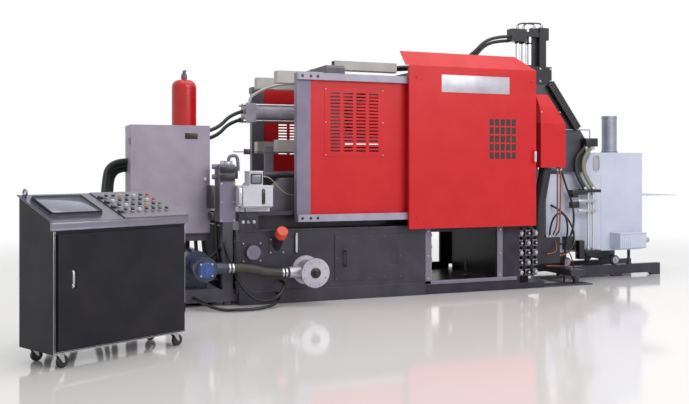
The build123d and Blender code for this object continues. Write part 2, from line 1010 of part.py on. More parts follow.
def link(start, end, y, thick, diameter):
    """A flat link with round ends, bored for its two pins."""
    x0, z0 = start
    x1, z1 = end
    length = math.hypot(x1 - x0, z1 - z0)
    angle = math.degrees(math.atan2(z1 - z0, x1 - x0))
    bore = Circle(pin_diameter / 2 + fit_gap)
    outline = SlotCenterToCenter(length, diameter) - Pos(-length / 2, 0) * bore - Pos(length / 2, 0) * bore
    plate = extrude(outline, amount=thick / 2, both=True)
    return Pos((x0 + x1) / 2, y, (z0 + z1) / 2) * Rot(0, -angle, 0) * Rot(90, 0, 0) * plate


def toggle_links():
    """The double toggle: rear links, front links, crosshead with its short links, and pins."""
    pieces = []
    reach = link_set_y + link_step + link_thick / 2 + link_gap
    short_y = link_set_y - link_step - link_thick / 2 - link_gap - short_link_thick / 2
    half_height = crosshead_height / 2
    head = block(crosshead_x - crosshead_length / 2, crosshead_x + crosshead_length / 2,
                 -crosshead_width / 2, crosshead_width / 2,
                 centre_height - half_height, centre_height + half_height)
    for up in toggle_sides:
        rear_pin = (rear_pin_x, centre_height + up * toggle_spread)
        front_pin = (front_pin_x, centre_height + up * toggle_spread)
        knee_pin = (knee_x, centre_height + up * knee_spread)
        head_pin = (crosshead_x, centre_height + up * crosshead_pin_spread)
        for side in toggle_sides:
            centre = side * link_set_y
            pieces.append(link(knee_pin, front_pin, centre, link_thick, link_end_diameter))
            for step in toggle_sides:
                pieces.append(link(rear_pin, knee_pin, centre + step * link_step,
                                   link_thick, link_end_diameter))
            pieces.append(link(head_pin, knee_pin, side * short_y, short_link_thick, short_link_diameter))
        for x, z in (rear_pin, front_pin, knee_pin):
            pieces.append(rod_y(x, -reach, reach, z, pin_diameter))
        head_reach = short_y + short_link_thick / 2 + link_gap
        head -= rod_y(crosshead_x, -head_reach, head_reach, head_pin[1], pin_diameter + 2 * fit_gap)
        pieces.append(rod_y(crosshead_x, -head_reach, head_reach, head_pin[1], pin_diameter))
    rod = rod_x(rear_left + fit_gap, crosshead_x - crosshead_length / 2, 0, centre_height,
                piston_rod_diameter)
    pieces.append(head + rod)
    return pieces


def clamp_cylinder():
    """The clamp cylinder on the rear platen, with its square cap."""
    left = rear_left - cylinder_length
    barrel = rod_x(left, rear_left, 0, centre_height, cylinder_diameter)
    barrel += rod_x(rear_left - cylinder_flange_thick, rear_left, 0, centre_height,
                    cylinder_flange_diameter)
    half = cylinder_cap_side / 2
    cap = block(left - cylinder_cap_length, left, -half, half,
                centre_height - half, centre_height + half)
    cylinder = barrel + cap
    for line in clamp_conduit_lines:
        cylinder += gland(line[-1], line[-2]) - cap
    return [cylinder]


def rear_saddle():
    """Two cast cheeks with a cut corner on the deck, and the guide bar on its bracket."""
    left = saddle_left
    right = rear_left
    outline = [(left, deck_top), (right, deck_top), (right, saddle_top),
               (left + saddle_corner, saddle_top), (left, saddle_top - saddle_corner)]
    cheek = profile_y(outline, -saddle_inner - saddle_thick, -saddle_inner)
    bar = rod_x(guide_bar_left, rear_left, -guide_bar_y, guide_bar_z, guide_bar_diameter)
    half = bracket_width / 4
    bracket = block(guide_bar_left, guide_bar_left + bracket_width, -guide_bar_y - half,
                    half - guide_bar_y, guide_bar_z, centre_height - bracket_drop)
    return [cheek, across(cheek), bar + bracket]


# Guards

rail_left = post_left
panel_back = guard_half_width - sheet
panel_left_edge = post_left + post_front_width
louvre_left = panel_left_edge + louvre_inset


def front_guard_frame():
    """Left and right posts of the operator's side, bolted to the deck's edge."""
    outer = -guard_half_width
    inner = -deck_half_width
    pieces = []
    for left, right in ((post_left, panel_left_edge), (guard_right - post_width, guard_right)):
        pieces.append(block(left, right, outer, inner, bottom_rail_low, top_rail_high))
    return pieces


def rear_guard_frame():
    """Posts and rails of the far side, the mirror of the operator's side."""
    bottom_rail, top_rail = guard_rails()
    frame = bottom_rail
    for post in front_guard_frame():
        frame += post
    return [across(frame + top_rail)]


def louvre_plate(left, low):
    """A separate louvre plate with rows of slots."""
    front = -guard_half_width - sheet
    plate = block(left, left + louvre_width, front, -guard_half_width, low, low + louvre_height)
    pitch_x = (louvre_width - 2 * louvre_margin - slot_width) / (slot_columns - 1)
    pitch_z = (louvre_height - 1.5 * louvre_margin - slot_height) / (slot_rows - 1)
    first_x = left + louvre_margin + slot_width / 2
    first_z = low + 0.75 * louvre_margin + slot_height / 2
    slots = [Pos(first_x + column * pitch_x, -guard_half_width, first_z + row * pitch_z)
             * Box(slot_width, 4 * sheet, slot_height)
             for column in range(slot_columns) for row in range(slot_rows)]
    return plate - slots


def louvre_opening(left, low):
    """The hole behind a louvre plate."""
    inset = louvre_margin / 2
    return block(left + inset, left + louvre_width - inset, -guard_half_width - 1, 1 - panel_back,
                 low + inset, low + louvre_height - inset)


def front_fixed_panel():
    """The fixed sheet panel between the left post and the doorway."""
    panel = block(panel_left_edge, fixed_panel_right, -guard_half_width, -panel_back,
                  bottom_rail_low, top_rail_high)
    return [panel - louvre_opening(louvre_left, louvre_low)]


def front_louvre():
    """The louvre plate screwed over the fixed panel."""
    return [louvre_plate(louvre_left, louvre_low)]


def guard_rails():
    """Top and bottom rails that the sliding door runs on."""
    return [block(rail_left, guard_right, -rail_front, -guard_half_width, low, low + rail_height)
            for low in (bottom_rail_low, top_rail_low)]


def rear_guard_panel():
    """The full-length sheet panel of the far side with its louvre plate."""
    panel = block(panel_left_edge, guard_right - post_width, -guard_half_width, -panel_back,
                  bottom_rail_low, top_rail_high)
    panel -= louvre_opening(louvre_left, louvre_low)
    return [across(panel), across(louvre_plate(louvre_left, louvre_low))]


def guard_door():
    """The sliding door: one folded sheet with a leaning hood, its shoes and its handle."""
    front = -door_face
    back = front + sheet
    slope = math.hypot(hood_lean, hood_top - door_fold)
    lean_y = sheet * (hood_top - door_fold) / slope
    fold_shift = sheet * (slope - hood_lean) / (hood_top - door_fold)
    outline = [(front, door_low), (front, door_fold), (front + hood_lean, hood_top),
               (front + hood_lean + lean_y, hood_top - sheet * hood_lean / slope),
               (back, door_fold - fold_shift)]
    outline.append((back, door_low))
    hood_left = door_left - hood_overhang
    door = profile_x(outline, hood_left, door_right)
    door -= block(hood_left - 1, door_left, front - 1, back + 1, door_low - 1, door_fold)
    mitre = Polyline([(door_right + 1, front, door_fold), (door_right - hood_mitre, front, hood_top + 1),
                      (door_right + 1, front, hood_top + 1)], close=True)
    door -= extrude(make_face(mitre), amount=hood_lean + 2 * sheet, dir=(0, 1, 0))
    edge = front + door_return
    door += block(door_left, door_left + sheet, back, edge, door_low, door_fold - sheet)
    door += block(door_right - sheet, door_right, back, edge, door_low, door_fold - sheet)
    door += block(door_left, door_right, back, edge, door_low, door_low + sheet)
    pitch_x = grille_hole_width + grille_bar_width
    pitch_z = grille_hole_height + grille_bar_width
    holes = [Pos(grille_left + (column + 0.5) * pitch_x, front, grille_low + (row + 0.5) * pitch_z)
             * Box(grille_hole_width, 4 * sheet, grille_hole_height)
             for column in range(grille_columns) for row in range(grille_rows)]
    door -= holes
    shoe_back = -guard_half_width - run_gap / 2
    for x in (door_left + shoe_inset, door_right - shoe_inset):
        for low in (top_rail_high + fit_gap, bottom_rail_low - fit_gap - shoe_thick):
            door += block(x - shoe_length / 2, x + shoe_length / 2, back, shoe_back, low, low + shoe_thick)
    grip_x = door_right - door_handle_inset
    grip_y = front - door_handle_reach
    high = door_handle_low + door_handle_length
    door += rod_z(grip_x, grip_y, door_handle_low, high, door_handle_bar)
    for z in (door_handle_low + door_handle_bar / 2, high - door_handle_bar / 2):
        door += rod_y(grip_x, grip_y, front, z, door_handle_bar)
    return [door]


def door_window():
    """The clear pane held behind the door's grille."""
    pitch_x = grille_hole_width + grille_bar_width
    pitch_z = grille_hole_height + grille_bar_width
    back = sheet - door_face
    return [block(grille_left - pane_margin, grille_left + grille_columns * pitch_x + pane_margin,
                  back, back + pane_thick,
                  grille_low - pane_margin, grille_low + grille_rows * pitch_z + pane_margin)]


def top_trunking():
    """The cable trunking over the toggle, on a bar from the rear platen."""
    low = platen_high + trunking_bar_thick
    half = trunking_width / 2
    wall = trunking_wall
    right = trunking_left + trunking_length
    channel = block(trunking_left, right, -half, half, low, low + trunking_height)
    channel -= block(trunking_left - 1, right - wall, wall - half, half - wall,
                     low + wall, low + trunking_height - wall)
    bar = block(rear_left, right, -trunking_bar_width / 2, trunking_bar_width / 2, platen_high, low)
    return [channel + bar]


# Injection end

def injection_frame():
    """Two cheeks from the fixed platen that straddle the furnace, joined by the yoke."""
    outer = -platen_half
    left = fixed_platen_thick
    outline = [(left, cheek_step), (left, cheek_top), (cheek_peak_x, cheek_peak_z),
               (cheek_nose_x, cheek_nose_z), (cheek_nose_x, cheek_step),
               (cheek_nose_x - cheek_thick, cheek_low), (cheek_heel_x, cheek_low),
               (cheek_heel_x - 2 * cheek_thick, cheek_step)]
    cheek = profile_y(outline, outer, outer + cheek_thick)
    yoke = block(yoke_x - yoke_width / 2, yoke_x + yoke_width / 2, outer + cheek_thick,
                 platen_half - cheek_thick, yoke_low, yoke_low + yoke_thick)
    yoke -= rod_z(yoke_x, 0, yoke_low - 1, yoke_low + yoke_thick + 1, plunger_diameter + 2 * run_gap)
    return [cheek + across(cheek) + yoke]


def shot_cylinder():
    """The shot cylinder on the yoke, with its rod and coupling down to the plunger."""
    low = yoke_low + yoke_thick
    half = shot_cap_side / 2
    high = low + shot_length
    body = rod_z(yoke_x, 0, low, high, shot_diameter)
    for z in (low, high - shot_cap_thick):
        body += block(yoke_x - half, yoke_x + half, -half, half, z, z + shot_cap_thick)
    rod_low = furnace_ledge + pot_rise + pot_wall
    body += rod_z(yoke_x, 0, rod_low, low, plunger_diameter)
    body += rod_z(yoke_x, 0, rod_low + coupling_length / 2, rod_low + 1.5 * coupling_length,
                  plunger_coupling)
    return [body]


def nozzle_guard():
    """The sheet cover beside the door, open at the back and below, with a leaning top."""
    left = fixed_platen_thick
    right = left + nozzle_guard_width
    front = -guard_half_width
    back = -platen_half

    def cover(inset):
        levels = ((nozzle_guard_fold, 0, 0),
                  (nozzle_guard_brow, nozzle_guard_inset, nozzle_guard_lean),
                  (nozzle_guard_top - inset, nozzle_guard_inset + nozzle_guard_top_inset,
                   nozzle_guard_lean + nozzle_guard_top_lean))
        outlines = []
        for z, narrow, lean in levels:
            width = right - left - 2 * (inset + narrow)
            depth = back - front - inset - lean
            place = Pos((left + right) / 2, back - depth / 2)
            outlines.append(Plane.XY.offset(z) * place * Rectangle(width, depth))
        lower = block(left + inset, right - inset, front + inset, back,
                      nozzle_guard_low, nozzle_guard_fold)
        return lower + loft(outlines[:2]) + loft(outlines[1:])

    inner = cover(sheet)
    inner += block(left + sheet, right - sheet, front + sheet, back, nozzle_guard_low - 1,
                   nozzle_guard_low)
    inner += block(left + sheet, right - sheet, back - 1, back + 1, nozzle_guard_low - 1,
                   nozzle_guard_fold)
    return [cover(0) - inner]


def mast_frame():
    """The mast's bracket on the fixed platen, its column and back rail, its head and its arm."""
    front = mast_y - mast_width / 2
    back = mast_y + mast_width / 2
    frame = block(fixed_platen_thick, mast_base_right, front, back, mast_base_low, mast_base_top)
    right = mast_column_left + mast_column_width
    frame += block(mast_column_left, right, front, mast_y, mast_base_top, mast_column_top)
    frame += block(mast_back_left, right, mast_y, back, mast_base_top, mast_column_top)
    frame += block(right, right + mast_stop_width, front, mast_y,
                   mast_column_top - mast_stop_height, mast_column_top)
    head_right = mast_head_left + mast_head_width
    arm_high = mast_arm_low + mast_arm_thick
    frame += block(head_right, mast_column_left, front + run_gap, back - run_gap, mast_arm_low, arm_high)
    frame += block(mast_head_left, head_right, front, back, mast_head_low, mast_head_low + mast_head_height)
    frame += block(mast_block_left, mast_block_left + mast_block_width, front + run_gap, mast_y - run_gap,
                   arm_high, arm_high + mast_block_height)
    return [frame]


def mast_actuator():
    """The mast's guide rod and tube under the head, and its cylinder under the arm."""
    return [rod_z(x, mast_y, mast_base_top, high, diameter) for x, high, diameter in (
        (mast_rod_x, mast_head_low, mast_rod_diameter),
        (mast_tube_x, mast_head_low, mast_tube_diameter),
        (mast_cylinder_x, mast_arm_low, mast_cylinder_diameter))]


def hydraulic_manifold():
    """Valve bars on the pedestal's side, the service box and the big air duct."""
    back = -pedestal_half_width
    front = back - manifold_depth
    pieces = []
    for index in range(manifold_bars):
        left = manifold_left + index * manifold_bar_pitch
        bar = block(left, left + manifold_bar_width, front, back, manifold_low,
                    manifold_low + manifold_height)
        pitch = manifold_height / valve_rows
        for row in range(valve_rows):
            z = manifold_low + (row + 0.5) * pitch
            middle = left + manifold_bar_width / 2
            bar += block(middle - valve_size / 2, middle + valve_size / 2, front - valve_size, front,
                         z - valve_size / 2, z + valve_size / 2)
        pieces.append(bar)
    box_y = -pedestal_half_width
    box_right = service_box_left + service_box_width
    box_high = service_box_low + service_box_height
    box = block(service_box_left, box_right, box_y - service_box_half_depth,
                box_y + service_box_half_depth, service_box_low, box_high)
    box += block(fixed_platen_thick, service_box_left, box_y, box_y + service_box_half_depth / 2,
                 service_box_low, service_box_low + service_arm_width)
    pieces.append(box)
    pieces.append(hose([(duct_foot_x, duct_foot_y, box_high), (duct_foot_x, duct_foot_y, box_high + duct_rise),
                        (duct_head_x, duct_head_y, nozzle_guard_low + duct_head_rise)], duct_diameter))
    return pieces


def spray_hoses():
    """Four bowed hoses from the cheek's block to the furnace's clamp block, rods and cable chain."""
    face = -platen_half
    front = face - spray_block_depth
    right = spray_clamp_left + spray_clamp_width
    top = block(spray_block_left, spray_block_left + spray_block_width, front, face,
                spray_block_low, spray_block_low + spray_block_height)
    clamp_high = spray_clamp_low + spray_clamp_height
    clamp = block(spray_clamp_left, right, front, -furnace_half_width, spray_clamp_low, clamp_high)
    foot_high = furnace_low + spray_foot_height
    foot = block(spray_clamp_left, right, front, -furnace_half_width, furnace_low, foot_high)
    pieces = [top, clamp, foot]
    middle = (front + face) / 2
    root = spray_hose_diameter / 2
    bow_z = spray_block_low - spray_bow_share * (spray_block_low - clamp_high)
    for index, (top_x, bow_x, foot_x) in enumerate(zip(spray_tops, spray_bows, spray_feet)):
        y = middle + (index % 2 - 0.5) * spray_row_step
        path = Spline((top_x, y, spray_block_low + root), (bow_x, y, bow_z), (foot_x, y, clamp_high - root),
                      tangents=[(-spray_slant, 0, -1), (spray_slant, 0, -1)])
        start = Plane(origin=path @ 0, z_dir=path % 0)
        pieces.append(sweep(start * Circle(spray_hose_diameter / 2), path=path) - top - clamp)
    for x in spray_rods:
        pieces.append(rod_z(x, middle, foot_high, spray_clamp_low, spray_rod_diameter))
    return pieces + [cable_chain()]


def cable_chain():
    """The cable chain beside the cheek's sloped edge."""
    slope = (cheek_nose_x - cheek_peak_x) / (cheek_peak_z - cheek_nose_z)
    low_x = cheek_peak_x + slope * (cheek_peak_z - chain_low)
    outline = [(cheek_peak_x, cheek_peak_z), (low_x, chain_low), (low_x - chain_width, chain_low),
               (cheek_peak_x - chain_width, cheek_peak_z)]
    return profile_y(outline, -platen_half - chain_depth, -platen_half)


# Furnace

def furnace_body():
    """The furnace casing with its low end under the shot cylinder, its pot and its shelf."""
    half = furnace_half_width
    outline = [(furnace_left, furnace_low), (furnace_right, furnace_low), (furnace_right, furnace_top),
               (furnace_step, furnace_top), (furnace_step, furnace_ledge), (furnace_left, furnace_ledge)]
    casing = profile_y(outline, -half, half)
    rim = furnace_ledge + pot_rise
    casing += rod_z(pot_x, 0, furnace_ledge, rim, pot_diameter)
    casing += rod_z(pot_x, 0, rim, rim + pot_wall, pot_diameter - 2 * pot_wall)
    shelf = [(furnace_right, furnace_shelf_low), (furnace_right + furnace_shelf_reach, furnace_shelf_low),
             (furnace_right + furnace_shelf_reach, furnace_shelf_low + furnace_shelf_tip),
             (furnace_right, furnace_shelf_low + furnace_shelf_root)]
    casing += profile_y(shelf, -furnace_shelf_half_width, furnace_shelf_half_width)
    return [casing]


def furnace_cover():
    """The sloped cover over the charging end, with a rounded port in its front."""
    half = furnace_half_width
    outline = [(cover_toe, furnace_ledge), (furnace_step, furnace_ledge), (furnace_step, furnace_top),
               (cover_brow, furnace_top)]
    cover = profile_y(outline, -half, half)
    middle_x = (cover_brow + furnace_step) / 2
    middle_z = (furnace_ledge + furnace_top) / 2
    port = Plane(origin=(middle_x, -half, middle_z), x_dir=(1, 0, 0), z_dir=(0, -1, 0))
    ring = port * SlotCenterToCenter(cover_port_height - cover_port_width, cover_port_width, rotation=90)
    cover -= extrude(ring, amount=-cover_port_width / 2)
    return [cover]


def flue():
    """The flue pipe with its collar on the furnace top."""
    pipe = rod_z(flue_x, 0, furnace_top, flue_top, flue_diameter)
    pipe -= rod_z(flue_x, 0, furnace_top + flue_collar, flue_top + 1, flue_diameter - 2 * flue_wall)
    collar = rod_z(flue_x, 0, furnace_top, furnace_top + flue_collar / 2, flue_diameter + flue_collar)
    return [pipe + collar]


def burner():
    """The burner box on the furnace's side with its gas pipe."""
    back = -furnace_half_width
    front = back - burner_side
    right = burner_left + burner_length
    body = block(burner_left, right, front, back, burner_low, burner_low + burner_side)
    body = fillet(body.edges().filter_by(Axis.X), burner_side / 8)
    body += rod_x(right, right + burner_pipe_reach, (front + back) / 2, burner_low + burner_side / 2,
                  burner_pipe_diameter)
    return [body]


def carriage_wheel_centre():
    """The height of the carriage wheels' axles over the floor."""
    return rail_beam_high + fit_gap + carriage_wheel_diameter / 2


def furnace_carriage():
    """Two beams under the furnace with four rail wheels and the two jacks."""
    axle_z = carriage_wheel_centre()
    pieces = []
    half = carriage_beam_width / 2
    wheel_high = axle_z + carriage_wheel_diameter / 2
    for x in (wheel_back_x, wheel_front_x):
        beam = block(x - half, x + half, run_gap - rail_y + carriage_wheel_width / 2,
                     rail_y - carriage_wheel_width / 2 - run_gap, axle_z, furnace_low)
        beam += rod_y(x, -rail_y - carriage_wheel_width / 2, rail_y + carriage_wheel_width / 2,
                      axle_z, axle_diameter)
        for side in toggle_sides:
            wheel = rod_y(x, side * rail_y - carriage_wheel_width / 2,
                          side * rail_y + carriage_wheel_width / 2, axle_z, carriage_wheel_diameter)
            beam += wheel
        pieces.append(beam)
    for side in toggle_sides:
        leg = rod_z(jack_x - jack_diameter, side * rail_y, rail_beam_high, furnace_low, jack_diameter)
        leg += rod_z(jack_x - jack_diameter, side * rail_y, rail_beam_high,
                     rail_beam_high + jack_diameter / 2, jack_pad)
        pieces.append(leg)
    return pieces


def furnace_rails():
    """Two floor rails on wedges, from a cross beam on the levelling feet."""
    cross_low = floor_plate_thick + foot_height
    cross_left = foot_x - cross_beam_width / 2
    cross_right = cross_left + cross_beam_width
    rails = block(cross_left, cross_right, -cross_beam_half_length, cross_beam_half_length,
                  cross_low, cross_low + cross_beam_height)
    half = rail_beam_width / 2
    for side in toggle_sides:
        y = side * rail_y
        rails += block(cross_right, rail_beam_right, y - half, y + half, rail_beam_low, rail_beam_high)
        for end in (rail_beam_right - wedge_length, (cross_right + rail_beam_right) / 2):
            wedge = [(end, rail_beam_low), (end + wedge_length, rail_beam_low), (end + wedge_length, 0),
                     (end + wedge_length / 3, 0)]
            rails += profile_y(wedge, y - half, y + half)
    return [rails]


# Console, in its own frame: X along its front from the left, Y backwards from its door

console_place = Pos(console_x, console_y, 0) * Rot(0, 0, console_turn)
console_front = console_door_thick + door_seat_gap
console_slope = math.degrees(math.atan2(console_back - console_lip, console_depth - console_front))
console_door_right = console_width - console_door_margin
console_hinge_x = console_door_right + hinge_barrel_diameter / 2
console_hinge_y = console_front - door_seat_gap - hinge_barrel_diameter / 2


def console_hinges():
    """The two halves of each hinge of the console door."""
    x = console_hinge_x
    y = console_hinge_y
    half = hinge_leaf_thick / 2
    pairs = []
    for z in (console_door_low + hinge_inset, console_door_high - hinge_inset - hinge_length):
        body_leaf = (x - half, x + half, y, console_front)
        door_leaf = (console_door_right, x, y - half, y + half)
        pairs.append(hinge(x, y, z, body_leaf, door_leaf))
    return pairs


def console_body():
    """The console's hollow case with its doorway, caster plates and pivots."""
    wall = console_wall
    slope_wall = wall / math.cos(math.radians(console_slope))
    outer = [(console_front, console_low), (console_depth, console_low),
             (console_depth, console_back), (console_front, console_lip)]
    rise = wall * math.tan(math.radians(console_slope))
    inner = [(console_front + wall, console_low + wall), (console_depth - wall, console_low + wall),
             (console_depth - wall, console_back - rise - slope_wall),
             (console_front + wall, console_lip + rise - slope_wall)]
    case = profile_x(outer, 0, console_width) - profile_x(inner, wall, console_width - wall)
    lap = console_door_lap
    lip = console_door_margin + lap
    case -= block(lip, console_width - lip, console_front - 1, console_front + wall + 1,
                  console_door_low + lap, console_door_high - lap)
    for pin_half, socket in console_hinges():
        case += pin_half
    half = caster_plate / 2
    for x, y in caster_places():
        case += block(x - half, x + half, y - half, y + half,
                      console_low - caster_plate_thick, console_low)
        case += rod_z(x, y, caster_crown_low, console_low, caster_pin_diameter)
    return [console_place * case]


def console_door():
    """The console's front door with its recessed pull."""
    back = console_door_thick
    wall = console_wall
    left = console_door_margin
    door = block(left, console_door_right, 0, back, console_door_low, console_door_high)
    door -= block(left + wall, console_door_right - wall, wall, back + 1,
                  console_door_low + wall, console_door_high - wall)
    pull_left = left + console_pull_inset
    pull = block(pull_left - wall, pull_left + console_pull_width + wall, 0, back - wall,
                 console_pull_low - wall, console_pull_low + console_pull_height + wall)
    pull -= block(pull_left, pull_left + console_pull_width, -1, back - 2 * wall,
                  console_pull_low, console_pull_low + console_pull_height)
    door -= block(pull_left, pull_left + console_pull_width, -1, wall + 1,
                  console_pull_low, console_pull_low + console_pull_height)
    door += pull
    for pin_half, socket in console_hinges():
        door += socket
    return [console_place * door]


def console_desk():
    """The sloped desk plate with its screen frame, its keys and the lifting eye."""
    length = (console_depth - console_front) / math.cos(math.radians(console_slope))
    desk_plane = Plane(origin=(0, console_front, console_lip), x_dir=(1, 0, 0),
                       z_dir=(0, -math.sin(math.radians(console_slope)),
                              math.cos(math.radians(console_slope))))

    def on_desk(x, y, width, depth, height, low=0):
        return desk_plane * Pos(x + width / 2, y + depth / 2, low + height / 2) * Box(width, depth, height)

    desk = on_desk(-desk_overhang, -desk_overhang, console_width + 2 * desk_overhang,
                   length + desk_overhang, desk_thick)
    reach = desk_overhang * math.cos(math.radians(console_slope))
    lip_front = console_front - reach
    lip_high = console_lip - desk_overhang * math.sin(math.radians(console_slope))
    lip = [(lip_front, lip_high - desk_lip_height), (console_front, lip_high - desk_lip_height),
           (console_front, console_lip), (lip_front, lip_high)]
    desk += profile_x(lip, -desk_overhang, console_width + desk_overhang)
    bezel = on_desk(screen_left, screen_inset, screen_width, screen_height, screen_bezel, desk_thick)
    bezel -= on_desk(screen_left + screen_bezel, screen_inset + screen_bezel,
                     screen_width - 2 * screen_bezel, screen_height - 2 * screen_bezel,
                     screen_bezel, 2 * desk_thick)
    desk += bezel
    panel_x = console_width / 2 + panel_gap
    desk += on_desk(panel_x, panel_gap - desk_overhang, console_width + desk_overhang - panel_gap - panel_x,
                    length + desk_overhang - 2 * panel_gap, panel_rise, desk_thick)
    first_x = console_width - key_inset - key_columns * key_pitch
    key_low = desk_thick + panel_rise
    for column in range(key_columns):
        for row in range(key_rows):
            place = Pos(first_x + (column + 0.5) * key_pitch, key_margin + (row + 0.5) * key_row_pitch,
                        key_low + key_height / 2)
            desk += desk_plane * place * Cylinder(key_diameter / 2, key_height)
    eye_y = console_depth - eye_diameter / 2
    desk_z = console_lip + (eye_y - console_front) * math.tan(math.radians(console_slope))
    eye_z = desk_z + desk_thick / 2 + eye_diameter / 2
    eye = rod_x(eye_x, eye_x + eye_bar, eye_y, eye_z, eye_diameter)
    eye -= rod_x(eye_x - 1, eye_x + eye_bar + 1, eye_y, eye_z, eye_diameter - 2 * eye_bar)
    return [console_place * (desk + eye)]


def caster_places():
    """The swivel centres under the console's corners."""
    front = console_front + caster_inset_y
    back = console_depth - caster_inset_y
    return [(x, y) for y in (front, back) for x in (caster_inset, console_width - caster_inset)]


caster_crown_low = caster_wheel_diameter + 5
caster_crown_high = console_low - caster_plate_thick - fit_gap
caster_pin_diameter = caster_stem_diameter / 2


def caster_fork(x, y):
    """A swivelling fork: crown on its pivot, two cheeks and the wheel's axle."""
    fork = rod_z(x, y, caster_crown_low, caster_crown_high, 2 * caster_stem_diameter)
    fork -= rod_z(x, y, caster_crown_low - 1, caster_crown_high + 1, caster_pin_diameter + 2 * fit_gap)
    axle_z = caster_wheel_diameter / 2
    wheel_x = x + caster_offset
    half = caster_wheel_width / 2 + caster_side_gap
    boss = caster_boss_diameter / 2
    outline = [(x - caster_stem_diameter / 2, caster_crown_low + 1), (wheel_x, caster_crown_low + 1),
               (wheel_x + boss, axle_z), (wheel_x, axle_z - boss), (wheel_x - boss, axle_z)]
    for side in (-1, 1):
        inner = y + side * half
        outer = inner + side * caster_fork_thick
        fork += profile_y(outline, min(inner, outer), max(inner, outer))
    reach = half + caster_fork_thick
    fork += rod_y(wheel_x, y - reach, y + reach, axle_z, caster_axle_diameter)
    return [console_place * fork]


def caster_wheel(x, y):
    """A caster wheel with rounded shoulders, running on the fork's axle."""
    half = caster_wheel_width / 2
    wheel_x = x + caster_offset
    axle_z = caster_wheel_diameter / 2
    wheel = rod_y(wheel_x, y - half, y + half, axle_z, caster_wheel_diameter)
    wheel = chamfer(wheel.edges().filter_by(GeomType.CIRCLE), caster_fork_thick)
    wheel -= rod_y(wheel_x, y - half - 1, y + half + 1, axle_z, caster_axle_diameter + 2 * fit_gap)
    return [console_place * wheel]


# Hoses and cables that hang free, each through points chosen by hand

console_conduit_left_route = [(-4355, -2229.7, 420), (-4448.8, -2053.4, 420), (-4460, -1800, 260),
                              (-4380, -1500, 70), (-4200, -1180, 60), (-4010, -900, 190),
                              (-3950, -700, 480), (-3930, -500, 760), (-3905, -340, 1010),
                              (-3865, -300, 1245), (cabinet_left, -300, 1245)]
console_conduit_right_route = [(-4222.6, -2159.3, 420), (-4316.4, -1982.9, 420), (-4300, -1730, 240),
                               (-4200, -1440, 60), (-4040, -1130, 50), (-3880, -850, 160),
                               (-3840, -620, 420), (-3852, -430, 720), (-3845, -250, 960),
                               (-3815, -230, 1175), (cabinet_left, -230, 1175)]
clamp_conduit_lines = [[(cabinet_right, -250, 1510), (-2870, -192, 1550), (-2730, -92, 1685),
                        (cylinder_cap_left, -30, 1725)],
                       [(cabinet_right, -200, 1440), (-2870, -142, 1478), (-2730, -26, 1611),
                        (cylinder_cap_left, 40, 1650)]]
clamp_conduit_routes = [[toward(start, second, gland_length), second, third, toward(end, third, gland_length)]
                        for start, second, third, end in clamp_conduit_lines]
suction_hose_route = [(strainer_x - elbow_reach, hose_y, strainer_z - elbow_drop), (-2596, -870, 284),
                      (-2782, -870, 343), (pump_x + pump_port_reach, hose_y, pump_z)]
floor_cable_route = [(-2480, -752, 92), (-2480, -860, 92), (-2560, -980, 30), (-2720, -1060, 16),
                     (-2900, -1080, 20), (-3060, -1010, 14), (-3200, -880, 80), (-3200, -700.3, 80)]


parts = {
    "oil_tank": oil_tank(),
    "bed_portal": bed_portal(),
    "bed_deck": bed_deck(),
    "levelling_feet": levelling_feet(),
    "tank_fittings": tank_fittings(),
    "suction_strainer": suction_strainer(),
    "rear_frame": rear_frame(),
    "pump_motor": pump_motor(),
    "valve_column": valve_column(),
    "lubricator": lubricator(),
    "accumulator": accumulator(),
    "cabinet_body": cabinet_body(),
    "cabinet_door": cabinet_door(),
    "rear_platen": rear_platen(),
    "moving_platen": moving_platen(),
    "fixed_platen": fixed_platen(),
    "tie_bars": tie_bars(),
    "tie_bar_covers": tie_bar_covers(),
    "toggle_links": toggle_links(),
    "clamp_cylinder": clamp_cylinder(),
    "rear_saddle": rear_saddle(),
    "front_guard_frame": front_guard_frame(),
    "front_fixed_panel": front_fixed_panel(),
    "front_louvre": front_louvre(),
    "guard_rails": guard_rails(),
    "guard_door": guard_door(),
    "door_window": door_window(),
    "rear_guard_frame": rear_guard_frame(),
    "rear_guard_panel": rear_guard_panel(),
    "top_trunking": top_trunking(),
    "injection_frame": injection_frame(),
    "shot_cylinder": shot_cylinder(),
    "nozzle_guard": nozzle_guard(),
    "mast_frame": mast_frame(),
    "mast_actuator": mast_actuator(),
    "hydraulic_manifold": hydraulic_manifold(),
    "spray_hoses": spray_hoses(),
    "furnace_body": furnace_body(),
    "furnace_cover": furnace_cover(),
    "flue": flue(),
    "burner": burner(),
    "furnace_carriage": furnace_carriage(),
    "furnace_rails": furnace_rails(),
    "console_body": console_body(),
    "console_door": console_door(),
    "console_desk": console_desk(),
    "console_conduit_left": [hose(console_conduit_left_route, conduit_diameter)],
    "console_conduit_right": [hose(console_conduit_right_route, conduit_diameter)],
    "clamp_conduit_upper": [hose(clamp_conduit_routes[0], clamp_conduit_diameter)],
    "clamp_conduit_lower": [hose(clamp_conduit_routes[1], clamp_conduit_diameter)],
    "suction_hose": [hose(suction_hose_route, hose_diameter)],
    "floor_cable": [hose(floor_cable_route, cable_diameter)],
}
for index, (x, y) in enumerate(caster_places(), 1):
    parts[f"caster_fork_{index}"] = caster_fork(x, y)
    parts[f"caster_wheel_{index}"] = caster_wheel(x, y)

os.makedirs("parts", exist_ok=True)
for name, pieces in parts.items():
    solids = [solid for piece in pieces for solid in piece.solids()]
    export_step(Compound(solids), f"parts/{name}.step")
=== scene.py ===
import math

import bpy
from mathutils import Matrix, Vector


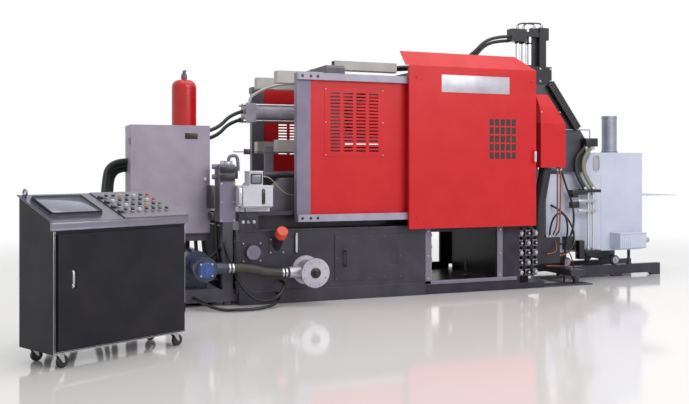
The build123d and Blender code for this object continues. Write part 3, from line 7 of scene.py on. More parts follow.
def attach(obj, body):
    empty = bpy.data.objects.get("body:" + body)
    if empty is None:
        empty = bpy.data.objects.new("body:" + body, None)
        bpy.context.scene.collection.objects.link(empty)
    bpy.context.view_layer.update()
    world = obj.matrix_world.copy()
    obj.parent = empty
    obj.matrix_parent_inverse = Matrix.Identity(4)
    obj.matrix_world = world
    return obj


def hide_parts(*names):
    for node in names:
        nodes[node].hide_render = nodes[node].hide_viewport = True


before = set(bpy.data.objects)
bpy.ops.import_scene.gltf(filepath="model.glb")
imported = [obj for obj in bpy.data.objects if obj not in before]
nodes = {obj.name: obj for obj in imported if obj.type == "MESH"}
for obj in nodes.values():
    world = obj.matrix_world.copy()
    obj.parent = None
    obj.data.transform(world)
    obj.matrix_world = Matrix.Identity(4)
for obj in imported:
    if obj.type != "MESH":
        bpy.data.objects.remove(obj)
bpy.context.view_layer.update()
bpy.ops.object.select_all(action="DESELECT")


# Camera, 1.2 m over the floor in front of the console

bpy.ops.object.camera_add(location=(-4.719, -8.043, 1.185), rotation=(math.pi / 2, 0, math.radians(-21.5)))
camera = bpy.context.object
camera.data.sensor_width = 36
camera.data.lens = 45.46
camera.data.shift_y = -0.0493
camera.data.clip_end = 200
bpy.context.scene.camera = camera


# Finishes, with the sizes in millimetres and the heights in metres that they share

scuff_size = 9
peel_height, grain_height = 0.0006, 0.0004
# Near black painted as shade inside dark recesses
painted_shade_black = "#0E0D10"


def linear(colour):
    """The linear value of an sRGB hex colour."""
    parts = [int(colour[at:at + 2], 16) / 255 for at in (1, 3, 5)]
    return (*[part / 12.92 if part <= 0.04045 else ((part + 0.055) / 1.055) ** 2.4 for part in parts], 1)


def add(tree, kind, inputs, **settings):
    """Adds a shader node, and sets or links its inputs; a node stands for its first output."""
    made = tree.nodes.new("ShaderNode" + kind)
    for name, value in settings.items():
        setattr(made, name, value)
    for name, value in inputs.items():
        if isinstance(value, bpy.types.Node):
            value = value.outputs[0]
        if isinstance(value, bpy.types.NodeSocket):
            tree.links.new(value, made.inputs[name])
        else:
            made.inputs[name].default_value = value
    return made


def new_finish(name):
    """A material, its empty tree, and the place on the object that its patterns follow."""
    finish = bpy.data.materials.new(name)
    finish.use_nodes = True
    tree = finish.node_tree
    tree.nodes.clear()
    return finish, tree, add(tree, "TexCoord", {}).outputs["Object"]


def per_mm(size):
    """The noise scale that gives spots of about this many millimetres."""
    return 1000 / size


def coat(name, colour, shade, rough, peel=2.5, depth=0.12, worn=None, wear=0.0, edge=1.5, metal=0.0,
         cloud=180, gloss=0.5, painted_shade_box=None):
    """Paint on sheet or casting: orange peel, cloudy colour, rubbed edges, and a box of near-black painted
    shade.
    """
    finish, tree, place = new_finish(name)
    clouds = add(tree, "TexNoise", {"Vector": place, "Scale": per_mm(cloud), "Detail": 6.0})
    skin = add(tree, "TexNoise", {"Vector": place, "Scale": per_mm(peel), "Detail": 2.0})
    spread = add(tree, "MapRange", {"Value": clouds, "From Min": 0.35, "From Max": 0.65})
    tint = add(tree, "Mix", {"Factor": spread, "A": linear(colour), "B": linear(shade)},
               data_type="RGBA").outputs[2]
    soft = add(tree, "Bevel", {"Radius": edge / 1000}, samples=4)
    if worn:
        facing = add(tree, "NewGeometry", {}).outputs["Normal"]
        bend = add(tree, "VectorMath", {0: soft, 1: facing}, operation="DOT_PRODUCT").outputs["Value"]
        scuff = add(tree, "TexNoise", {"Vector": place, "Scale": per_mm(scuff_size), "Detail": 5.0})
        cut = add(tree, "Math", {0: scuff, 1: 0.04}, operation="MULTIPLY")
        limit = add(tree, "Math", {0: 1.005 - 0.05 * wear, 1: cut}, operation="SUBTRACT")
        rub = add(tree, "Math", {0: bend, 1: limit}, operation="LESS_THAN")
        share = add(tree, "Math", {0: rub, 1: wear}, operation="MULTIPLY")
        tint = add(tree, "Mix", {"Factor": share, "A": tint, "B": linear(worn)}, data_type="RGBA").outputs[2]
    # Inside a box in object space the colour turns near black: painted shade
    if painted_shade_box:
        parts = add(tree, "SeparateXYZ", {"Vector": place})
        inside = [add(tree, "Math", {0: parts.outputs[axis], 1: middle, 2: reach}, operation="COMPARE")
                  for axis, (middle, reach) in enumerate(painted_shade_box)]
        both = add(tree, "Math", {0: inside[0], 1: inside[1]}, operation="MULTIPLY")
        tint = add(tree, "Mix", {"Factor": both, "A": tint, "B": linear(painted_shade_black)},
                   data_type="RGBA").outputs[2]
    rise = add(tree, "Bump", {"Strength": depth, "Distance": peel_height, "Height": skin, "Normal": soft})
    sheen = add(tree, "MapRange", {"Value": clouds, "To Min": rough - 0.06, "To Max": rough + 0.08})
    shader = add(tree, "BsdfPrincipled", {"Base Color": tint, "Roughness": sheen, "Metallic": metal,
                                          "Specular IOR Level": gloss, "Normal": rise})
    add(tree, "OutputMaterial", {"Surface": shader})
    return finish


def bare_metal(name, colour, shade, rough, grain=0.6, stretch=(1, 1, 1), depth=0.08):
    """Machined or drawn metal: fine grain that may run one way, and cloudy brightness."""
    finish, tree, place = new_finish(name)
    drawn = add(tree, "Mapping", {"Vector": place, "Scale": stretch})
    lines = add(tree, "TexNoise", {"Vector": drawn, "Scale": per_mm(grain), "Detail": 3.0})
    clouds = add(tree, "TexNoise", {"Vector": place, "Scale": per_mm(90), "Detail": 5.0})
    base = add(tree, "Mix", {"Factor": clouds, "A": linear(colour), "B": linear(shade)}, data_type="RGBA")
    soft = add(tree, "Bevel", {"Radius": 0.0008}, samples=4)
    rise = add(tree, "Bump", {"Strength": depth, "Distance": grain_height, "Height": lines, "Normal": soft})
    sheen = add(tree, "MapRange", {"Value": lines, "To Min": rough - 0.07, "To Max": rough + 0.09})
    shader = add(tree, "BsdfPrincipled", {"Base Color": base.outputs[2], "Metallic": 1.0, "Roughness": sheen,
                                          "Normal": rise})
    add(tree, "OutputMaterial", {"Surface": shader})
    return finish


def ribbed_hose(name, colour, shade, rough, length, pitch, depth=0.5):
    """Rubber or plastic hose with ribs or braid that follow its own length, and painted shade in the grooves
    between them.
    """
    finish, tree, place = new_finish(name)
    along = add(tree, "TexCoord", {}).outputs["UV"]
    turns = add(tree, "Mapping", {"Vector": along, "Scale": (length / pitch, 1, 1)})
    ribs = add(tree, "TexWave", {"Vector": turns, "Scale": 0.314, "Distortion": 0.0}, wave_profile="SIN",
               bands_direction="X").outputs["Fac"]
    grime = add(tree, "TexNoise", {"Vector": place, "Scale": per_mm(60), "Detail": 6.0})
    base = add(tree, "Mix", {"Factor": grime, "A": linear(colour), "B": linear(shade)}, data_type="RGBA")
    # The grooves between ribs take the darker colour: painted shade in the creases
    groove_shaded = add(tree, "Mix", {"Factor": ribs, "A": linear(shade), "B": base.outputs[2]}, data_type="RGBA")
    rise = add(tree, "Bump", {"Strength": depth, "Distance": pitch * 0.4, "Height": ribs})
    shader = add(tree, "BsdfPrincipled", {"Base Color": groove_shaded.outputs[2], "Roughness": rough, "Normal": rise})
    add(tree, "OutputMaterial", {"Surface": shader})
    return finish


def clear_sheet(name, colour, rough):
    """Tinted polycarbonate, smooth and slightly scratched."""
    finish, tree, place = new_finish(name)
    haze = add(tree, "TexNoise", {"Vector": place, "Scale": per_mm(40), "Detail": 6.0})
    sheen = add(tree, "MapRange", {"Value": haze, "To Min": rough, "To Max": rough + 0.08})
    shader = add(tree, "BsdfPrincipled", {"Base Color": linear(colour), "Roughness": sheen, "IOR": 1.58,
                                          "Transmission Weight": 0.75})
    add(tree, "OutputMaterial", {"Surface": shader})
    return finish


# Powder coat on folded sheet: even colour, faint orange peel, semi-gloss
guard_red = coat("red_powder_coat", "#CB2127", "#C41C22", 0.34, worn="#DE5650", wear=0.4, gloss=0.3)
# Structural paint on rolled steel posts: lilac grey, satin
post_grey = coat("lilac_grey_post_paint", "#80798E", "#746D82", 0.42, worn="#B5B0B8", wear=0.6)
# The same paint at the back, made darker as painted shade
shaded_post_grey = coat("oil_misted_post_paint", "#5F5A69", "#524D5C", 0.42, worn="#8E8A97", wear=0.6)
# Enamel on cold drawn bar: pale grey, a little rubbed by the door
rail_grey = coat("pale_grey_rail_paint", "#A5A2B4", "#9793A6", 0.38, worn="#D0CCD2", wear=0.7)
# Machine enamel on welded plate: thick dark grey, soft sheen, oil clouds
bed_grey = coat("dark_machine_enamel", "#3D3A46", "#302D38", 0.3, peel=4, depth=0.3, worn="#7E7A88", wear=0.6,
                edge=2.5, gloss=0.4)
# The same enamel, thinned by oil and dust on the floor frames
frame_grey = coat("dusty_frame_enamel", "#4B4854", "#3A3742", 0.42, peel=5, depth=0.4, worn="#8A8694",
                  wear=0.8, edge=3)
# Lilac grey satin enamel on machined valve plates and the portal's edges
lilac_enamel = coat("lilac_satin_enamel", "#7E788C", "#716B7E", 0.36, peel=3, depth=0.2, worn="#C9C5D0",
                    wear=0.7)
# Pale enamel on the cylinder's castings
cylinder_pale = coat("pale_cylinder_enamel", "#A6A3AF", "#918E9A", 0.38, peel=4, depth=0.35, worn="#D6D3DC",
                     wear=0.7, edge=2.5)
# Soot-black brackets and boxes: satin enamel
box_black = coat("black_satin_enamel", "#17151A", "#100F12", 0.35, depth=0.25, worn="#57545A", wear=0.5)
# Zinc-plated screws and fittings: soft bright metal
zinc = bare_metal("zinc_plate", "#C3C2C8", "#A5A4AC", 0.3, grain=1.5)
# Copper tube, brown where it has been warm
copper = bare_metal("warm_copper_tube", "#B4704E", "#7E4A36", 0.32, grain=2)
# Brushed stainless sheet of the desk
brushed_steel = bare_metal("brushed_stainless", "#8C8997", "#74717F", 0.32, grain=0.8, stretch=(0.06, 1, 1),
                           depth=0.12)
# Injection moulded caps in plain colours
cap_orange = coat("orange_moulded_cap", "#E2512B", "#D24823", 0.38, peel=2, depth=0.1)
cap_black, cap_green, cap_yellow, cap_red = (
    coat(name + "_moulded_cap", colour, shade, 0.3, peel=1.2, depth=0.08) for name, colour, shade in (
        ("black", "#17161A", "#121114"), ("green", "#2E7A4C", "#276B42"),
        ("yellow", "#D6A73A", "#C79A33"), ("red", "#C02B2B", "#AE2525")))
# Enamel on the pump's end cover: a brighter blue
pump_patch = coat("bright_blue_cap", "#3C5C9A", "#2F4B84", 0.32, peel=3, depth=0.2)
# Black enamel under a film of oil, on the valves, the duct and the mast
oily_black = coat("oily_black_enamel", "#28262D", "#1B191F", 0.3, peel=4, depth=0.35, worn="#5E5B64",
                  wear=0.6, edge=2.5, gloss=0.45)
# The bed's enamel, with the walls inside the portal painted near black as painted shade
portal_enamel = coat("portal_enamel", "#3D3A46", "#302D38", 0.3, peel=4, depth=0.3, worn="#7E7A88", wear=0.6,
                     edge=2.5, gloss=0.15, painted_shade_box=((-0.52, 0.514), (0, 0.71)))
# Black sheet on the tank's end, quite matt: painted shade on that face
tank_end_shade_finish = coat("matt_black_rubber", "#100F12", "#0B0A0C", 0.85, peel=3, depth=0.3, gloss=0.1)
# Extruded nylon tube of a grease line: pale, smooth
pale_nylon = coat("pale_nylon_line", "#A9A691", "#98957F", 0.4, peel=3, depth=0.05)
# Filler-coated casting painted grey: rough skin, worn corners
cast_grey = coat("painted_casting", "#68646E", "#54505A", 0.5, peel=6, depth=0.5, worn="#A8A4AA",
                 wear=0.8, edge=3)
# Ground steel: bright, fine grain
ground_steel = bare_metal("ground_steel", "#B9B8BC", "#9D9CA2", 0.28)
# Hard chrome plate on ground bar: mirror-like, almost no grain
hard_chrome = bare_metal("hard_chrome_plate", "#D8D8DC", "#C6C6CC", 0.12, depth=0.02)
# Baked enamel on thin folded covers: beige grey, satin
cover_beige = coat("beige_cover_enamel", "#BDBBB8", "#B2AFAC", 0.42, worn="#DAD8D4", wear=0.5)
# Textured powder coat on cabinet sheet: grey with a violet cast
cabinet_grey = coat("textured_cabinet_coat", "#A59CAE", "#9990A2", 0.5, peel=3, depth=0.5, worn="#C4BCCC",
                    wear=0.4)
# Fine-texture powder coat on console sheet: near black, brownish
console_dark = coat("near_black_console_coat", "#25232B", "#1C1B22", 0.38, peel=2, depth=0.3, worn="#4A4751",
                    wear=0.35, gloss=0.2)
# Heat-resistant enamel on furnace sheet: pale blue grey
furnace_pale = coat("pale_furnace_enamel", "#CBD0E2", "#BEC4D8", 0.42, worn="#E6E9F0", wear=0.4, cloud=400)
# Galvanised flue sheet: grey with a soft shine
flue_grey = coat("galvanised_flue_sheet", "#9EA2AE", "#8E929E", 0.38, peel=8, depth=0.15, metal=0.5)
# Pump enamel on castings: dark blue
pump_blue = coat("dark_blue_pump_enamel", "#3A4460", "#262D42", 0.35, peel=5, depth=0.4, worn="#6A7898",
                 wear=0.6)
# Gloss enamel on a forged bottle: deep red
bottle_red = coat("gloss_red_bottle_enamel", "#C8181E", "#B81218", 0.2, peel=6, depth=0.12)
# Sand cast aluminium, bead blasted: pale, matt, slightly lilac
cast_aluminium = coat("blasted_cast_aluminium", "#BDBAC4", "#A9A6B1", 0.42, peel=3, depth=0.45,
                      worn="#DDDBE2", wear=0.6, metal=0.55)
# Injection moulded ABS: white with a soft gloss
white_plastic = coat("white_moulded_abs", "#D3D3DC", "#C8C8D2", 0.35, peel=1.5, depth=0.1)
# Tinted polycarbonate window
smoked_pane = clear_sheet("smoked_polycarbonate", "#4A4648", 0.08)
# Nylon wheel and moulded fork parts: black
black_nylon = coat("black_nylon", "#1A1A1C", "#141416", 0.45, peel=1.5, depth=0.15)
# Hydraulic hose cover: black rubber with a green cast
conduit_green = ribbed_hose("green_black_conduit", "#1E2B22", "#0F1511", 0.38, 3.0, 0.012)
conduit_short = ribbed_hose("green_black_conduit_short", "#2B3B30", "#151C17", 0.38, 0.66, 0.012)
# Steel wire braid over a suction hose: olive grey, finely ribbed
suction_rubber = ribbed_hose("steel_braid_suction_hose", "#5A5A52", "#2E2E2A", 0.36, 0.57, 0.010)
# Extruded rubber of cables and thin hoses: black, smooth, a little dull
cable_rubber = ribbed_hose("black_cable_rubber", "#101011", "#0A0A0B", 0.45, 1.15, 0.02, depth=0.05)
# Fabric-braided hose: olive grey, dull, with the braid's crossings
spray_light = ribbed_hose("olive_braided_hose", "#A5A894", "#74775F", 0.5, 0.55, 0.006, depth=0.4)
# The same braid, darkened by oil
spray_dark = ribbed_hose("dark_braided_hose", "#3A3B3A", "#1C1C1D", 0.45, 0.55, 0.006, depth=0.4)
# Display glass: dark, glossy, with a grey-blue cast
screen_glass = coat("dark_display_glass", "#7E8292", "#6A6E7E", 0.12, peel=30, depth=0.01, gloss=0.7)
# Clear sight glass over oil
sight_oil = coat("amber_sight_glass", "#2A261C", "#1C1912", 0.12, peel=20, depth=0.02, gloss=0.6)

finish_of = {
    bed_grey: ["oil_tank", "bed_deck", "tank_fittings", "furnace_rails"],
    portal_enamel: ["bed_portal"],
    oily_black: ["hydraulic_manifold", "mast_frame"],
    frame_grey: ["rear_frame", "levelling_feet", "furnace_carriage", "injection_frame"],
    lilac_enamel: ["valve_column"],
    cylinder_pale: ["clamp_cylinder"],
    cast_aluminium: ["suction_strainer"],
    pump_blue: ["pump_motor"],
    white_plastic: ["lubricator"],
    bottle_red: ["accumulator"],
    cabinet_grey: ["cabinet_body", "cabinet_door"],
    cast_grey: ["rear_platen", "moving_platen", "fixed_platen", "toggle_links", "rear_saddle"],
    hard_chrome: ["tie_bars", "mast_actuator"],
    cover_beige: ["tie_bar_covers", "top_trunking"],
    post_grey: ["front_guard_frame"],
    shaded_post_grey: ["rear_guard_frame"],
    rail_grey: ["guard_rails"],
    guard_red: ["front_fixed_panel", "front_louvre", "guard_door", "rear_guard_panel", "nozzle_guard"],
    smoked_pane: ["door_window"],
    ground_steel: ["shot_cylinder"],
    brushed_steel: ["console_desk"],
    furnace_pale: ["furnace_body", "furnace_cover", "burner"],
    flue_grey: ["flue"],
    console_dark: ["console_body", "console_door"],
    black_nylon: [f"caster_wheel_{index}" for index in range(1, 5)],
}
finish_of[ground_steel] += [f"caster_fork_{index}" for index in range(1, 5)]
for finish, names in finish_of.items():
    for name in names:
        nodes[name].data.materials.clear()
        nodes[name].data.materials.append(finish)


# Hoses and cables that hang free, each through given points

def round_line(name, route, diameter, steps, sides):
    """A smooth round line through points in millimetres."""
    line = bpy.data.curves.new(name, "CURVE")
    line.dimensions = "3D"
    spline = line.splines.new("NURBS")
    spline.points.add(len(route) - 1)
    for point, (x, y, z) in zip(spline.points, route):
        point.co = (x / 1000, y / 1000, z / 1000, 1)
    spline.use_endpoint_u = True
    spline.order_u = 3
    spline.resolution_u = steps
    line.bevel_depth = diameter / 2000
    line.bevel_resolution = sides
    line.use_fill_caps = True
    drawn = bpy.data.objects.new(name, line)
    bpy.context.scene.collection.objects.link(drawn)
    return drawn


def free_hose(name, diameter, route, finish=cable_rubber):
    """A free hose or cable; one with a solid of its own takes the solid's place."""
    hose = round_line(name, route, diameter, 10, 5)
    hose.data.materials.append(finish)
    if name.removesuffix("_line") in nodes:
        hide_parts(name.removesuffix("_line"))
    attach(hose, "machine")


free_hose("console_conduit_left_line", 50, [
    (-4355, -2229.7, 420), (-4448.8, -2053.4, 420), (-4460, -1800, 260), (-4380, -1500, 70),
    (-4200, -1180, 60), (-4010, -900, 190), (-3950, -700, 480), (-3930, -500, 760), (-3905, -340, 1010),
    (-3865, -300, 1245), (-3700, -300, 1245)], conduit_green)
free_hose("console_conduit_right_line", 50, [
    (-4222.6, -2159.3, 420), (-4316.4, -1982.9, 420), (-4300, -1730, 240), (-4200, -1440, 60),
    (-4040, -1130, 50), (-3880, -850, 160), (-3840, -620, 420), (-3852, -430, 720), (-3845, -250, 960),
    (-3815, -230, 1175), (-3700, -230, 1175)], conduit_green)
free_hose("clamp_conduit_upper_line", 34, [
    (-2990.9, -239.4, 1517.4), (-2870, -192, 1550), (-2730, -92, 1685), (-2608.9, -41.3, 1717.7)],
    conduit_short)
free_hose("clamp_conduit_lower_line", 34, [
    (-2990.8, -189.4, 1447), (-2870, -142, 1478), (-2730, -26, 1611), (-2608.6, 28.1, 1643)],
    conduit_short)
free_hose("suction_hose_line", 80, [
    (-2409, -870, 284), (-2596, -870, 284), (-2782, -870, 343), (-2969, -870, 343)],
    suction_rubber)
free_hose("floor_cable_line", 26, [
    (-2480, -752, 92), (-2480, -860, 92), (-2560, -980, 30), (-2720, -1060, 16), (-2900, -1080, 20),
    (-3060, -1010, 14), (-3200, -880, 80), (-3200, -700.3, 80)])
free_hose("console_conduit_middle", 40, [
    (-4289, -2194.5, 420), (-4382, -2018, 420), (-4380, -1765, 250), (-4290, -1470, 65), (-4120, -1155, 55),
    (-3945, -875, 175), (-3895, -660, 450), (-3891, -465, 740), (-3875, -295, 985), (-3840, -265, 1210),
    (-3700, -265, 1210)], conduit_green)
free_hose("mast_hose_front", 34, [
    (217, -240, 2557), (60, -235, 2545), (-90, -225, 2490), (-185, -215, 2390), (-300, -170, 2290),
    (-600, -80, 2230), (-999, -20, 2205)])
free_hose("mast_hose_back", 34, [
    (217, -200, 2516), (60, -200, 2505), (-80, -195, 2450), (-165, -190, 2350), (-300, -130, 2255),
    (-600, -40, 2212), (-999, 20, 2185)])
free_hose("column_hose", 26, [
    (-2941, -640, 719), (-2941, -640, 600), (-2938, -642, 460), (-2925, -645, 340), (-2880, -645, 245),
    (-2819, -640, 205)])
free_hose("pump_return_hose", 26, [
    (-2900, -560, 719), (-2900, -560, 620), (-2925, -570, 510), (-2990, -600, 440), (-3080, -640, 400)])
free_hose("return_hose", 28, [
    (-2440, -742, 190), (-2440, -850, 205), (-2490, -945, 120), (-2620, -945, 40), (-2760, -880, 90),
    (-2855, -810, 240), (-2905, -745, 420), (-2945, -680, 570), (-2955, -640, 719)])
free_hose("tank_hose", 30, [
    (-2990, -600, 719), (-2990, -602, 560), (-2975, -615, 400), (-2930, -630, 260), (-2880, -640, 165),
    (-2819, -645, 130)])
free_hose("thick_hose", 40, [
    (-2900, -520, 719), (-2905, -520, 560), (-2940, -500, 420), (-2960, -470, 300), (-2900, -440, 160),
    (-2819, -430, 130)])
free_hose("cabinet_hose_upper", 30, [
    (-3060, -400, 619), (-3060, -400, 520), (-3040, -405, 410), (-2970, -425, 345), (-2900, -445, 330),
    (-2819, -450, 330)])
free_hose("cabinet_hose_lower", 34, [
    (-3110, -330, 619), (-3110, -330, 520), (-3100, -350, 400), (-3060, -380, 290), (-2980, -400, 235),
    (-2900, -410, 225), (-2819, -410, 225)])
free_hose("lubricator_cable", 9, [
    (-2775, -770, 866), (-2777, -775, 815), (-2755, -785, 750), (-2695, -800, 675), (-2610, -815, 620),
    (-2550, -820, 590), (-2516, -815, 572)])
free_hose("cheek_hose", 22, [
    (524, -560, 400), (600, -560, 400), (690, -565, 430), (760, -560, 540), (790, -540, 700),
    (785, -500, 860), (750, -450, 1000), (720, -425, 1143)])
free_hose("furnace_hose", 20, [
    (524, -600, 300), (600, -600, 300), (680, -610, 330), (740, -610, 420), (745, -590, 560),
    (700, -540, 680), (640, -480, 760), (600, -402, 800)])
free_hose("foot_hose", 20, [
    (420, -640, 489), (418, -650, 610), (480, -670, 730), (590, -665, 720), (645, -635, 590),
    (652, -600, 440), (650, -570, 300), (650, -560, 150), (650, -560, 12)])
free_hose("grease_line", 7, [
    (-2616, -700, 1110), (-2560, -700, 1115), (-2500, -695, 1075), (-2440, -680, 1010), (-2370, -640, 960),
    (-2290, -600, 940), (-2240, -562, 935)], pale_nylon)


# Modelling steps used for every added piece, in millimetres

to_front, to_right, upward = (0, -1, 0), (1, 0, 0), (0, 0, 1)


def block(low, high):
    """A plain box between two corners."""
    bpy.ops.object.select_all(action="DESELECT")
    bpy.ops.mesh.primitive_cube_add(size=1, location=[(a + b) / 2000 for a, b in zip(low, high)])
    piece = bpy.context.object
    piece.scale = [(b - a) / 1000 for a, b in zip(low, high)]
    bpy.ops.object.transform_apply(location=False, rotation=False, scale=True)
    return piece


def slab(low, high, round_edge=1.5):
    """A box with rounded edges between two corners."""
    piece = block(low, high)
    bpy.ops.object.mode_set(mode="EDIT")
    bpy.ops.mesh.select_all(action="SELECT")
    bpy.ops.mesh.bevel(offset=round_edge / 1000, segments=2, affect="EDGES")
    bpy.ops.object.mode_set(mode="OBJECT")
    return piece


def turned(place, steps, direction=to_front, sides=24):
    """A turned or hexagonal piece, from (distance along its axis, diameter) steps."""
    bpy.ops.object.select_all(action="DESELECT")
    bpy.ops.mesh.primitive_circle_add(vertices=sides, radius=steps[0][1] / 2000, fill_type="NGON",
                                      location=(0, 0, 0))
    piece = bpy.context.object
    bpy.ops.object.mode_set(mode="EDIT")
    bpy.ops.mesh.select_all(action="SELECT")
    bpy.ops.transform.translate(value=(0, 0, steps[0][0] / 1000))
    for (start, wide), (end, next_wide) in zip(steps, steps[1:]):
        bpy.ops.mesh.extrude_region_move(TRANSFORM_OT_translate={"value": (0, 0, (end - start) / 1000)})
        if next_wide != wide:
            bpy.ops.transform.resize(value=(next_wide / wide, next_wide / wide, 1))
    bpy.ops.mesh.select_all(action="SELECT")
    bpy.ops.mesh.normals_make_consistent(inside=False)
    bpy.ops.object.mode_set(mode="OBJECT")
    turn = Vector(upward).rotation_difference(Vector(direction)).to_matrix().to_4x4()
    piece.matrix_world = Matrix.Translation([value / 1000 for value in place]) @ turn
    return piece


def frame_ring(low, high, corner, border, depth):
    """A raised frame with rounded corners whose inside is pressed down."""
    piece = block(low, high)
    for edge in piece.data.edges:
        first, second = (piece.data.vertices[at].co for at in edge.vertices)
        edge.select = abs(first.z - second.z) > 1e-5
    for face in piece.data.polygons:
        face.select = False
    bpy.ops.object.mode_set(mode="EDIT")
    bpy.ops.mesh.select_mode(type="EDGE")
    bpy.ops.mesh.bevel(offset=corner / 1000, segments=6, affect="EDGES")
    bpy.ops.mesh.select_mode(type="FACE")
    bpy.ops.mesh.select_all(action="DESELECT")
    bpy.ops.object.mode_set(mode="OBJECT")
    for face in piece.data.polygons:
        face.select = face.normal.z > 0.9
    bpy.ops.object.mode_set(mode="EDIT")
    bpy.ops.mesh.inset(thickness=border / 1000)
    bpy.ops.mesh.extrude_region_move(TRANSFORM_OT_translate={"value": (0, 0, -depth / 1000)})
    bpy.ops.object.mode_set(mode="OBJECT")
    return piece


def upright(x, y, z):
    """The place, in metres, of a frame modelled flat and stood up to face the operator."""
    return Matrix.Translation((x, y, z)) @ Matrix.Rotation(math.pi / 2, 4, "X")


def twin(piece, shift):
    """A copy with its own mesh, moved by a step."""
    copy = piece.copy()
    copy.data = piece.data.copy()
    bpy.context.scene.collection.objects.link(copy)
    copy.matrix_world = Matrix.Translation([value / 1000 for value in shift]) @ piece.matrix_world
    return copy


def twins(piece, shifts):
    """The piece and its copies at each step."""
    return [piece] + [twin(piece, shift) for shift in shifts]


def copies(piece, shifts):
    """Copies at each step, in place of the piece."""
    made = [twin(piece, shift) for shift in shifts]
    bpy.data.objects.remove(piece)
    return made


def pipe(points, diameter, sides=5):
    """A bent tube through points, made a mesh."""
    tube = round_line("pipe", points, diameter, 8, sides)
    bpy.ops.object.select_all(action="DESELECT")
    tube.select_set(True)
    bpy.context.view_layer.objects.active = tube
    bpy.ops.object.convert(target="MESH")
    return bpy.context.object


def gather(name, pieces, finish=zinc, body="machine", place=None):
    """Joins pieces into one named piece with its place in its mesh, riding on a body."""
    bpy.ops.object.select_all(action="DESELECT")
    for piece in pieces:
        if place is not None:
            piece.matrix_world = place @ piece.matrix_world
        piece.data.materials.clear()
        piece.select_set(True)
    bpy.context.view_layer.objects.active = pieces[0]
    if len(pieces) > 1:
        bpy.ops.object.join()
    piece = bpy.context.object
    bpy.ops.object.transform_apply(location=True, rotation=True, scale=True)
    bpy.ops.object.shade_smooth_by_angle(angle=math.radians(35))
    piece.name = name
    piece.data.name = name
    piece.data.materials.append(finish)
    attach(piece, body)
    return piece


def grid(across, y, heights):
    """Places over and beside each other in one upright plane."""
    return [(x, y, z) for x in across for z in heights]


def bolts(places, size, sides=6):
    """Screw heads on their washers, sized by their thread: one modelled and copied to each place."""
    head = turned(places[0], [(0, 2.2 * size), (0.25 * size, 2.2 * size), (0.25 * size, 1.7 * size),
                              (0.85 * size, 1.7 * size), (size, 1.45 * size)], sides=sides)
    return twins(head, [[b - a for a, b in zip(places[0], place)] for place in places[1:]])


# Console, in its own frame: X along its front, Y backwards, its desk plate in the desk's own frame

console_place = Matrix.Translation((-4.432, -2.724, 0)) @ Matrix.Rotation(math.radians(28), 4, "Z")
desk_front, desk_back, desk_low, desk_high = 20.5, 400, 872, 1017
desk_slope = math.atan2(desk_high - desk_low, desk_back - desk_front)
desk_place = (console_place @ Matrix.Translation((0, desk_front / 1000, desk_low / 1000))
              @ Matrix.Rotation(desk_slope, 4, "X"))
desk_top, panel_top = 4, 10
button_columns, column_step, row_step = 7, 54, 76
case_wide, case_front = 975, 20.6


def console_screen():
    """The display: a rounded dark bezel over the desk's frame, and its glass."""
    gaskets = [frame_ring((26, 60, 19.4), (371, 322, 21.4), 12, 7, 1),
               frame_ring((38, 72, 19.6), (359, 310, 21.9), 7, 3, 1)]
    gather("console_screen_gaskets", gaskets, cap_black, place=desk_place)
    plate = frame_ring((32.5, 66.5, 19.5), (364.5, 315.5, 21.7), 8, 7, 1.1)
    gather("console_screen_plate", [plate], brushed_steel, place=desk_place)
    glass = slab((41.5, 75.5, 18), (355.5, 306.5, 21.5), 0.4)
    gather("console_screen_glass", [glass], screen_glass, place=desk_place)
    seams = [slab((484.5, -16, desk_top), (489.5, 403, 7), 0.6),
             slab((-17, -16, desk_top), (-11, 403, 6.5), 0.6)]
    gather("console_desk_seams", seams, cap_black, place=desk_place)


def console_buttons():
    """Push buttons with collars over the desk's keys, and the square keys beside them."""
    colours = {"k": cap_black, "w": white_plastic, "g": cap_green, "y": cap_yellow, "r": cap_red}
    rows = ("kkwkkgk", "kwkkykg", "wkkgkwr", "kkykwkr")
    margin_right, margin_front = 66, 52
    first = (case_wide - margin_right - (button_columns - 0.5) * column_step, margin_front + row_step / 2, 0)
    button = turned(first, [(14, 25.4), (22, 25.4), (25.5, 23), (27, 17)], upward, 20)
    collar = turned(first, [(panel_top, 33), (13, 33), (14.5, 30), (14.5, 25.6), (15, 25.5)], upward, 20)
    groups = {key: [] for key in colours}
    collars = []
    for row, line in enumerate(rows):
        for column, key in enumerate(line):
            step = (column * column_step, row * row_step, 0)
            groups[key].append(twin(button, step))
            collars.append(twin(collar, step))
    bpy.data.objects.remove(button)
    bpy.data.objects.remove(collar)
    for key, group in groups.items():
        name = colours[key].name.split("_")[0]
        gather(f"console_buttons_{name}", group, colours[key], place=desk_place)
    gather("console_button_collars", collars, place=desk_place)
    keys = twins(slab((497, 60, panel_top), (525, 92, 20), 2.5), [(0, step * 78, 0) for step in (1, 2, 3)])
    gather("console_square_keys", keys, cap_black, place=desk_place)


def console_trims():
    """Bright edge strips of the case, and the desk's front moulding."""
    strips = [slab((left, 18.4, low), (right, case_front, high), 0.6)
              for left, low, right, high in ((1.5, 97, 5.5, 815), (11, 97, 14, 815), (970.5, 97, 974, 815),
                                             (2, 94, 974, 99), (2, 104, 974, 106))]
    gather("console_edge_strips", strips, ground_steel, place=console_place)
    moulding = [slab((-17.5, 1.2, 846), (992.5, 5, 865), 1.2), slab((-17.5, 2.4, 819), (992.5, 5, 828), 0.9)]
    gather("console_desk_moulding", moulding, brushed_steel, place=console_place)


